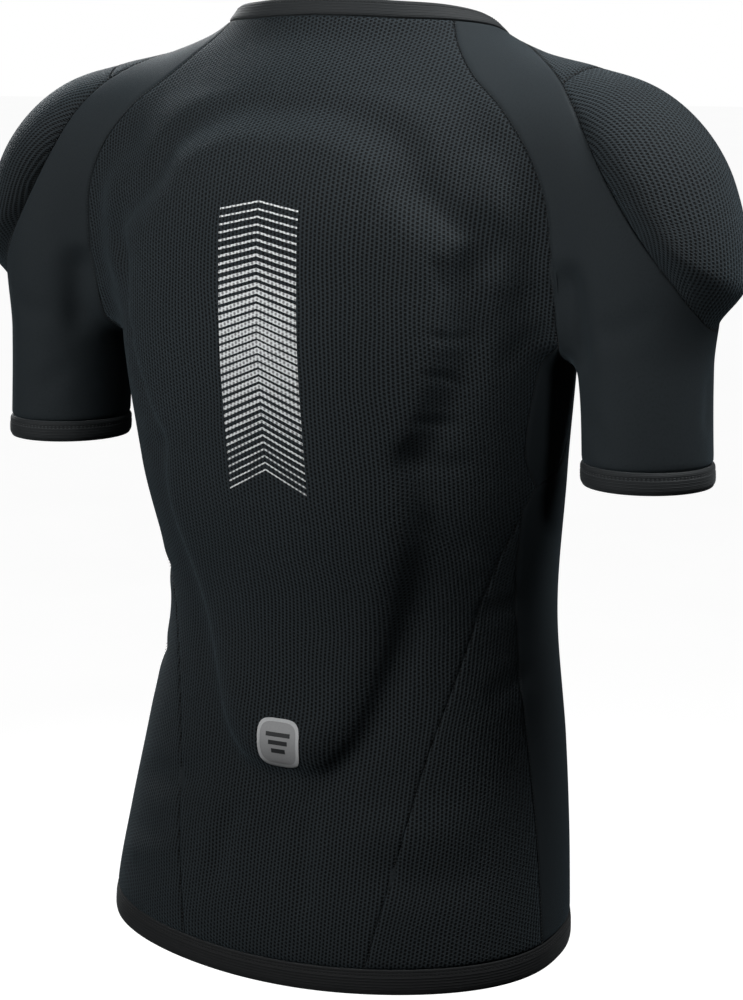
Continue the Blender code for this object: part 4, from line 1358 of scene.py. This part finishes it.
def badge_patch(surface, from_share, to_share, lift):
    """A ring or field of a rounded badge, between two shares of its size."""
    turns = np.linspace(0, 2 * pi, BADGE_COLUMNS)
    shares = np.linspace(from_share, to_share, ceil(1 + (to_share - from_share) / BADGE_STEP))[:, None]
    powers = np.abs(np.sin(turns)) ** BADGE_ROUNDNESS + np.abs(np.cos(turns)) ** BADGE_ROUNDNESS
    reach = powers ** (-1 / BADGE_ROUNDNESS)
    u = shares * BADGE_HALF_WIDTH * reach * np.sin(turns)
    v = surface.v_of(BADGE_Z) + shares * BADGE_HALF_HEIGHT * reach * np.cos(turns)
    return u, v, lift


def badge_bar(surface, half_width, centre):
    """A plain bar on the badge's field."""
    u = np.repeat(np.linspace(-half_width, half_width, 9)[None], 3, axis=0)
    rows = np.repeat(np.linspace(1, -1, 3)[:, None], 9, axis=1)
    return u, surface.v_of(BADGE_Z) + centre + rows * BAR_HALF_HEIGHT, BAR_LIFT


# Pads

def pad_piece(name, points, rise, node, look):
    """A soft pad under the cloth: its outer face follows the cloth, its inner face is quilted."""
    out = unit(outward(points))
    lift = rise + crease_lift(points)
    cut = cut_of(points, points.shape[1] // 2)
    across = np.abs((cut[..., 0] / QUILT_CELL + 0.5) % 1 - 0.5)
    upward = np.abs((cut[..., 1] / QUILT_CELL) % 1 - 0.5)
    channel = QUILT_DEPTH * bell(np.minimum(across, upward) * QUILT_CELL, 0, QUILT_WIDTH)
    rows, columns = (np.minimum(np.arange(n), np.arange(n)[::-1]) for n in points.shape[:2])
    border = np.minimum(rows[:, None], columns[None])
    rounding = PAD_ROUNDING * np.clip(1 - border / 2, 0, 1) ** 2
    outer = points + out * (lift - WALL - PAD_GAP - PAD_CLEARANCE - rounding)[..., None]
    inner = points - out * (PAD_BACKING - channel - rounding)[..., None]
    sheet = joined([Panel(points, cut, rise)])
    piece = shell(name, outer.reshape(-1, 3), inner.reshape(-1, 3), sheet[2], sheet[3], look)
    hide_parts(node)


def protector_points():
    """A grid over the protector, inside the edge where the cloth starts to fall."""
    rows = round((PROTECTOR_TOP_Z - PROTECTOR_FOOT_Z) / PAD_CELL)
    zs = np.linspace(PROTECTOR_TOP_Z, PROTECTOR_FOOT_Z, rows)
    half = protector_at(zs)[:, 0] - PROTECTOR_EDGE / 2
    across = np.linspace(-1, 1, PAD_COLUMNS)
    x = half[:, None] * across
    z = zs[:, None] + 0 * x
    turn = np.zeros_like(x)
    for _ in range(TURN_ROUNDS):
        turn = np.arcsin(np.clip(x / trunk_reach(turn, z), -WIDEST_SINE, WIDEST_SINE))
    return settle(trunk_point(turn, z))


# Materials

class Look:
    """A material and short ways to add nodes to it."""

    def __init__(self, name):
        self.made = bpy.data.materials.new(name)
        self.made.use_nodes = True
        self.tree = self.made.node_tree
        self.shader = self.tree.nodes["Principled BSDF"]

    def link(self, value, socket):
        if isinstance(value, bpy.types.NodeSocket):
            self.tree.links.new(value, socket)
        else:
            socket.default_value = value

    def node(self, kind, *values, **settings):
        node = self.tree.nodes.new(kind)
        for key, value in settings.items():
            setattr(node, key, value)
        for socket, value in zip(node.inputs, values):
            if value is not None:
                self.link(value, socket)
        return node

    def math(self, operation, *values):
        return self.node("ShaderNodeMath", *values, operation=operation).outputs[0]

    def vector(self, operation, *values):
        node = self.node("ShaderNodeVectorMath", *values, operation=operation)
        return node.outputs["Value" if operation == "LENGTH" else "Vector"]

    def scaled(self, value, low, high, to_low, to_high, smooth=True):
        kind = "SMOOTHSTEP" if smooth else "LINEAR"
        node = self.node("ShaderNodeMapRange", value, low, high, to_low, to_high, interpolation_type=kind)
        return node.outputs[0]

    def noise(self, place, scale, detail=3.0, rough=0.55):
        node = self.node("ShaderNodeTexNoise")
        self.link(place, node.inputs["Vector"])
        node.inputs["Scale"].default_value = scale
        node.inputs["Detail"].default_value = detail
        node.inputs["Roughness"].default_value = rough
        return node.outputs[0]

    def mix(self, share, first, second):
        node = self.node("ShaderNodeMix", data_type="RGBA")
        for socket, value in ((node.inputs[0], share), (node.inputs[6], first), (node.inputs[7], second)):
            self.link(value, socket)
        return node.outputs[2]

    def dim(self, colour, share):
        """A colour made darker by a share from zero to one."""
        return self.mix(share, (0, 0, 0, 1), colour)

    def shade(self, colour, value, low, high, dark, light):
        """A colour that goes from one share of itself to another as a value rises."""
        return self.dim(colour, self.scaled(value, low, high, dark, light, False))

    def cut_place(self):
        return self.node("ShaderNodeUVMap", uv_map="cloth").outputs[0]

    def finish(self, colour, roughness, height, **fixed):
        """Sets the colour, roughness and fine height, and the numbers that are the same all over."""
        bump = self.node("ShaderNodeBump")
        bump.inputs["Strength"].default_value = 1.0
        bump.inputs["Distance"].default_value = 1.0
        self.link(height, bump.inputs["Height"])
        self.link(bump.outputs[0], self.shader.inputs["Normal"])
        self.link(colour, self.shader.inputs["Base Color"])
        self.link(roughness, self.shader.inputs["Roughness"])
        for key, value in fixed.items():
            self.shader.inputs[key.replace("_", " ")].default_value = value
        return self.made


def hole_mask(look, place):
    """One in the holes of the mesh knit and zero on its yarn."""
    drift = look.noise(place, 16.0, 1.0)
    drift = look.node("ShaderNodeCombineXYZ", drift, drift).outputs[0]
    drift = look.vector("SUBTRACT", drift, (0.5, 0.5, 0))
    place = look.vector("ADD", place, look.vector("SCALE", drift, None, None, HOLE_DRIFT))
    cell = (2 * HOLE_COLUMN, HOLE_PITCH, 1.0)
    grid = look.vector("DIVIDE", place, cell)
    gaps = []
    for offset in ((0.5, 0.5, 0), (0.0, 0.0, 0)):
        part = look.vector("FRACTION", look.vector("ADD", grid, offset))
        off = look.vector("SUBTRACT", part, (0.5, 0.5, 0))
        off = look.vector("MULTIPLY", off, (cell[0], cell[1] * HOLE_NARROWNESS, 0))
        gaps.append(look.vector("LENGTH", off))
    gap = look.math("MINIMUM", *gaps)
    return look.scaled(gap, HOLE_INNER, HOLE_OUTER, 1.0, 0.0)


def knit_loops(look, place, width):
    """Small slanting loops of a plain knit, from zero to one."""
    parts = look.node("ShaderNodeSeparateXYZ", look.vector("SCALE", place, None, None, 1 / width))
    across = look.math("PINGPONG", parts.outputs[0], 0.5)
    upward = look.math("MULTIPLY", parts.outputs[1], 1.2)
    slanted = look.math("ADD", upward, look.math("MULTIPLY", across, 1.4))
    return look.math("PINGPONG", slanted, 0.5)


def mesh_knit():
    look = Look("mesh_knit_cloth")
    place = look.cut_place()
    holes = hole_mask(look, place)
    loops = knit_loops(look, place, 0.0008)
    patches = look.noise(place, 9.0, 4.0)
    grain = look.noise(place, 900.0, 2.0)
    colour = look.mix(patches, *MESH_COLOURS)
    colour = look.shade(colour, grain, 0.2, 0.8, 0.72, 1.12)
    # Painted shade: the holes go nearly black, partly the dark cloth beneath them and partly painted shade in
    # them
    colour = look.shade(colour, holes, 0.0, 1.0, 1.0, 0.03)
    height = look.math("MULTIPLY", holes, -0.00060)
    height = look.math("MULTIPLY_ADD", loops, 0.00010, height)
    height = look.math("MULTIPLY_ADD", grain, 0.00005, height)
    rough = look.scaled(grain, 0.2, 0.8, 0.70, 0.92, False)
    return look.finish(colour, rough, height, Sheen_Weight=0.08, Sheen_Roughness=0.45,
                       Sheen_Tint=KNIT_SHEEN, Specular_IOR_Level=0.18)


def smooth_knit():
    look = Look("smooth_knit_cloth")
    place = look.cut_place()
    loops = knit_loops(look, place, 0.00060)
    patches = look.noise(place, 7.0, 4.0)
    grain = look.noise(place, 650.0, 4.0, 0.7)
    colour = look.mix(patches, *SMOOTH_COLOURS)
    # Painted shade and highlight: darker in the grooves between the loops and lighter on their raised tops,
    # following their bump height
    colour = look.shade(colour, loops, 0.0, 0.5, 0.80, 1.10)
    colour = look.shade(colour, grain, 0.3, 0.7, 0.72, 1.25)
    height = look.math("MULTIPLY", loops, 0.00009)
    height = look.math("MULTIPLY_ADD", grain, 0.00003, height)
    rough = look.scaled(patches, 0.3, 0.7, 0.66, 0.78, False)
    return look.finish(colour, rough, height, Sheen_Weight=0.06, Sheen_Roughness=0.40,
                       Sheen_Tint=KNIT_SHEEN, Specular_IOR_Level=0.14)


def band_knit(name, dark, light):
    look = Look(name)
    place = look.cut_place()
    parts = look.node("ShaderNodeSeparateXYZ", place)
    ribs = look.math("PINGPONG", look.math("MULTIPLY", parts.outputs[1], 1 / 0.0011), 0.5)
    stretch = look.vector("MULTIPLY", place, (150.0, 2400.0, 1.0))
    streaks = look.noise(stretch, 1.0, 2.0)
    colour = look.mix(look.scaled(streaks, 0.3, 0.7, 0.0, 1.0), dark, light)
    # Painted shade and highlight: darker in the grooves between the ribs and lighter on their tops, following
    # their bump height
    colour = look.shade(colour, ribs, 0.0, 0.5, 0.72, 1.10)
    height = look.math("MULTIPLY", ribs, 0.00022)
    height = look.math("MULTIPLY_ADD", streaks, 0.00012, height)
    return look.finish(colour, look.scaled(streaks, 0.3, 0.7, 0.66, 0.82, False), height,
                       Sheen_Weight=0.12, Sheen_Roughness=0.4, Sheen_Tint=BAND_SHEEN,
                       Specular_IOR_Level=0.30)


def spun_thread(name, dark, light):
    look = Look(name)
    place = look.node("ShaderNodeTexCoord").outputs["Object"]
    fibre = look.noise(place, 2600.0, 2.0)
    colour = look.mix(fibre, dark, light)
    return look.finish(colour, look.scaled(fibre, 0.3, 0.7, 0.50, 0.70, False),
                       look.math("MULTIPLY", fibre, 0.00005), Sheen_Weight=0.10, Specular_IOR_Level=0.35)


def print_ink():
    look = Look("print_ink")
    place = look.cut_place()
    holes = hole_mask(look, place)
    wear = look.noise(place, 420.0, 4.0)
    colour = look.mix(wear, *INK_COLOURS)
    # Painted shade: the ink goes darker in the holes, partly the uninked cloth beneath and partly painted
    # shade in them
    colour = look.shade(colour, holes, 0.0, 1.0, 1.0, 0.30)
    height = look.math("MULTIPLY", holes, -0.00022)
    rough = look.scaled(wear, 0.3, 0.7, 0.42, 0.60, False)
    return look.finish(colour, rough, height, Specular_IOR_Level=0.40)


def rubber(name, dark, light):
    look = Look(name)
    place = look.cut_place()
    grain = look.noise(place, 700.0, 3.0)
    colour = look.mix(grain, dark, light)
    return look.finish(colour, look.scaled(grain, 0.3, 0.7, 0.45, 0.62, False),
                       look.math("MULTIPLY", grain, 0.00006), Specular_IOR_Level=0.45)


def foam():
    look = Look("foam_liner")
    place = look.cut_place()
    loops = knit_loops(look, place, 0.0012)
    pores = look.noise(place, 1500.0, 3.0)
    colour = look.mix(pores, *FOAM_COLOURS)
    # Painted shade and highlight: darker in the grooves between the loops and lighter on their tops,
    # following their bump height
    colour = look.shade(colour, loops, 0.0, 0.5, 0.75, 1.10)
    height = look.math("MULTIPLY", loops, 0.00015)
    height = look.math("MULTIPLY_ADD", pores, 0.00008, height)
    return look.finish(colour, look.scaled(pores, 0.3, 0.7, 0.80, 0.95, False), height,
                       Sheen_Weight=0.10, Specular_IOR_Level=0.25)


# Stage

def area_light(name, place, target, size, power):
    """A soft square light that faces a place on the shirt."""
    data = bpy.data.lights.new(name, "AREA")
    data.size = size
    aim_light(data, place, target, power)


def spot_light(name, place, target, radius, power, cone):
    """A soft round light that lights one place on the shirt."""
    data = bpy.data.lights.new(name, "SPOT")
    data.shadow_soft_size = radius
    data.spot_size = cone
    data.spot_blend = SPOT_BLEND
    aim_light(data, place, target, power)


def aim_light(data, place, target, power):
    data.energy = power
    light = bpy.data.objects.new(data.name, data)
    light.visible_camera = False
    light.location = place
    light.rotation_euler = (Vector(target) - Vector(place)).to_track_quat("-Z", "Y").to_euler()
    bpy.context.scene.collection.objects.link(light)


def add_world():
    """White behind the shirt, and for its light a dim room that is brighter overhead."""
    world = bpy.data.worlds.new("studio")
    world.use_nodes = True
    tree = world.node_tree
    shader = tree.nodes["Background"]
    shader.inputs["Color"].default_value = (1.0, 1.0, 1.0, 1)
    parts = tree.nodes.new("ShaderNodeSeparateXYZ")
    tree.links.new(tree.nodes.new("ShaderNodeTexCoord").outputs["Generated"], parts.inputs[0])
    height = tree.nodes.new("ShaderNodeMapRange")
    height.interpolation_type = "SMOOTHSTEP"
    for socket, value in zip(height.inputs[1:5], (ROOM_LOW, ROOM_TOP, ROOM_LIGHT_LOW, ROOM_LIGHT_HIGH)):
        socket.default_value = value
    tree.links.new(parts.outputs[2], height.inputs[0])
    seen = tree.nodes.new("ShaderNodeMix")
    seen.inputs[3].default_value = 1.0
    tree.links.new(height.outputs[0], seen.inputs[2])
    tree.links.new(tree.nodes.new("ShaderNodeLightPath").outputs["Is Camera Ray"], seen.inputs[0])
    tree.links.new(seen.outputs[0], shader.inputs["Strength"])
    bpy.context.scene.world = world
    bpy.context.scene.view_settings.view_transform = "Standard"


def add_floor():
    """A pale floor that glows evenly, so that it stays pale without lighting the shirt from below."""
    mesh = bpy.data.meshes.new("floor")
    size = FLOOR_HALF_SIZE
    corners = [(-size, -size, FLOOR_Z), (size, -size, FLOOR_Z), (size, size, FLOOR_Z), (-size, size, FLOOR_Z)]
    mesh.from_pydata(corners, [], [(0, 1, 2, 3)])
    look = Look("pale_floor")
    cloudy = look.noise(look.node("ShaderNodeTexCoord").outputs["Object"], 2.0, 2.0)
    colour = look.mix(cloudy, *FLOOR_COLOURS)
    glow = look.mix(cloudy, *FLOOR_GLOWS)
    look.link(glow, look.shader.inputs["Emission Color"])
    look.shader.inputs["Emission Strength"].default_value = FLOOR_GLOW
    mesh.materials.append(look.finish(colour, 0.9, look.math("MULTIPLY", cloudy, 0.0)))
    floor = bpy.data.objects.new("floor", mesh)
    floor.visible_diffuse = False
    floor.visible_glossy = False
    bpy.context.scene.collection.objects.link(floor)


def add_camera():
    """The photo's viewpoint: behind the shirt, turned to the wearer's right."""
    right = np.array([-cos(CAMERA_TURN), -sin(CAMERA_TURN), 0])
    toward = np.array([-sin(CAMERA_TURN), cos(CAMERA_TURN), 0])
    yaw = atan((AXIS_PIXEL - PHOTO_HALF_WIDTH) / FOCAL_PIXELS)
    ahead = -toward * cos(CAMERA_PITCH) * cos(yaw) - right * cos(CAMERA_PITCH) * sin(yaw)
    ahead = ahead + np.array([0, 0, -sin(CAMERA_PITCH)])
    data = bpy.data.cameras.new("camera")
    data.sensor_width = SENSOR_MM
    data.lens = FOCAL_PIXELS * SENSOR_MM / PHOTO_LONG_SIDE
    camera = bpy.data.objects.new("camera", data)
    camera.location = toward * CAMERA_DISTANCE
    camera.rotation_euler = Vector(ahead).to_track_quat("-Z", "Y").to_euler()
    bpy.context.scene.collection.objects.link(camera)
    bpy.context.scene.camera = camera


# The shirt

def seams_and_edges(lines):
    """Every seam on both sides of the shirt, and the closed edges under its bands."""
    one_side = [line for name, line in lines.items() if not name.startswith("sleeve_")]
    cuff = arm_ring(CUFF_SEAM_Z, np.linspace(0, 2 * pi, CUFF_SAMPLES))
    neck = neckline(np.linspace(0, 2 * pi, NECK_SAMPLES))
    hem = hem_seam(np.linspace(0, 2 * pi, HEM_SAMPLES))
    return one_side + [mirrored(line) for line in one_side], [neck, hem, cuff, mirrored(cuff)]


def tree_along(paths):
    """A search tree of points close together along the paths."""
    counts = [ceil(lengths_along(path)[-1] / SEAM_POINT_PITCH) for path in paths]
    points = np.vstack([along(path, np.linspace(0, 1, count)) for path, count in zip(paths, counts)])
    tree = kdtree.KDTree(len(points))
    for number, point in enumerate(points):
        tree.insert(point, number)
    tree.balance()
    return tree


def add_bands():
    """The rolled bands round the openings, with their rows of stitches."""
    # The hem band's knit is a darker copy of the cuffs': partly its own tone, partly painted shade
    hem_tone_and_shade_cloth = band_knit("hem_band_cloth", *HEM_TONE_AND_SHADE_COLOURS)
    cuff_cloth = band_knit("cuff_band_cloth", *CUFF_COLOURS)
    grey_thread = spun_thread("grey_thread", *GREY_THREAD_COLOURS)
    profile = band_profile(HEM_BAND, HEM_PROUD, HEM_RIB, HEM_ROWS)
    at = band("hem_band_cloth", hem_rings(HEM_COUNT), HEM_BAND, profile, hem_tone_and_shade_cloth, "hem_band")
    stitch_rows("hem_stitches", at, profile, HEM_ROWS, dark_thread)
    profile = band_profile(COLLAR_BAND, COLLAR_PROUD, COLLAR_RIB, COLLAR_ROWS)
    rings = collar_rings(COLLAR_COUNT)
    at = band("collar_band_cloth", rings, COLLAR_BAND, profile, cuff_cloth, "collar_band")
    stitch_rows("collar_stitches", at, profile, COLLAR_ROWS, dark_thread)
    profile = band_profile(CUFF_BAND, CUFF_PROUD, CUFF_RIB, CUFF_ROWS)
    rings = cuff_rings(CUFF_COUNT)
    for side, cuffs in (("left", rings), ("right", [mirrored(ring) for ring in rings])):
        at = band(f"cuff_{side}_cloth", cuffs, CUFF_BAND, profile, cuff_cloth, f"cuff_{side}")
        stitch_rows(f"cuff_stitches_{side}", at, profile, CUFF_ROWS, grey_thread)


def add_print(surface):
    """The chevrons down the spine, and the badge: its field, its rim and its bars."""
    film("spine_print", surface, chevron_patches(surface), print_ink())
    field = badge_patch(surface, *BADGE_FIELD)
    film("badge_field", surface, [field], rubber("badge_rubber", *FIELD_COLOURS))
    rim = badge_patch(surface, *BADGE_RIM)
    film("badge_rim", surface, [rim], rubber("badge_rim_rubber", *RIM_COLOURS))
    bars = [badge_bar(surface, *bar) for bar in BADGE_BARS]
    film("badge_bars", surface, bars, rubber("badge_bar_rubber", *BAR_COLOURS))


def add_pads(pocket, v, u):
    """The back protector, and the shoulder pads inside their pockets' edges."""
    look = foam()
    protector = protector_points()
    pad_piece("back_protector_foam", protector, protector_rise(protector), "back_protector", look)
    keep_v = (v >= PAD_FROM) & (v <= PAD_TO)
    keep_u = (u >= PAD_SIDE) & (u <= 1 - PAD_SIDE)
    points = pocket.points[keep_v][:, keep_u]
    rise = pocket.rise[keep_v][:, keep_u]
    pad_piece("shoulder_pad_left_foam", points, rise, "shoulder_pad_left", look)
    points, rise = mirrored(points)[:, ::-1], rise[:, ::-1]
    pad_piece("shoulder_pad_right_foam", points, rise, "shoulder_pad_right", look)


add_camera()
add_world()
add_floor()
for light in AREA_LIGHTS:
    area_light(*light)
for light in SPOT_LIGHTS:
    spot_light(*light)

protector_outline = outline_of(PROTECTOR)
plate_outline = outline_of(PLATE, [v for v in PROTECTOR if v.z < PLATE[-1].z])
crease_paths = crease_lines()
lines = seam_lines()
seams, edges = seams_and_edges(lines)
seam_tree = tree_along(seams + edges)

mesh_cloth = mesh_knit()
smooth_cloth = smooth_knit()
dark_thread = spun_thread("dark_thread", *DARK_THREAD_COLOURS)

back = back_panel(lines)
back_outer = cloth("back_panel_cloth", [back], mesh_cloth, "back_panel")
cloth("front_panel_cloth", [front_panel(lines)], smooth_cloth, "front_panel")
both_sides("side_panel", [side_panel(lines)], mesh_cloth)
both_sides("underarm_gusset", [gusset_panel(lines)], smooth_cloth)
both_sides("shoulder_yoke", [yoke_panel(lines)], mesh_cloth)
pocket, pocket_v, pocket_u = pocket_panel(lines)
both_sides("shoulder_pocket", [pocket], mesh_cloth)
both_sides("sleeve", sleeve_panels(lines), smooth_cloth)

add_bands()
paths, ups = zip(*(ladder_paths(line) for line in seams))
threads("seam_stitches", np.concatenate(paths), np.concatenate(ups), dark_thread)
tape("seam_tapes", seams + edges, smooth_cloth)
add_print(BackSurface(back, back_outer))
add_pads(pocket, pocket_v, pocket_u)
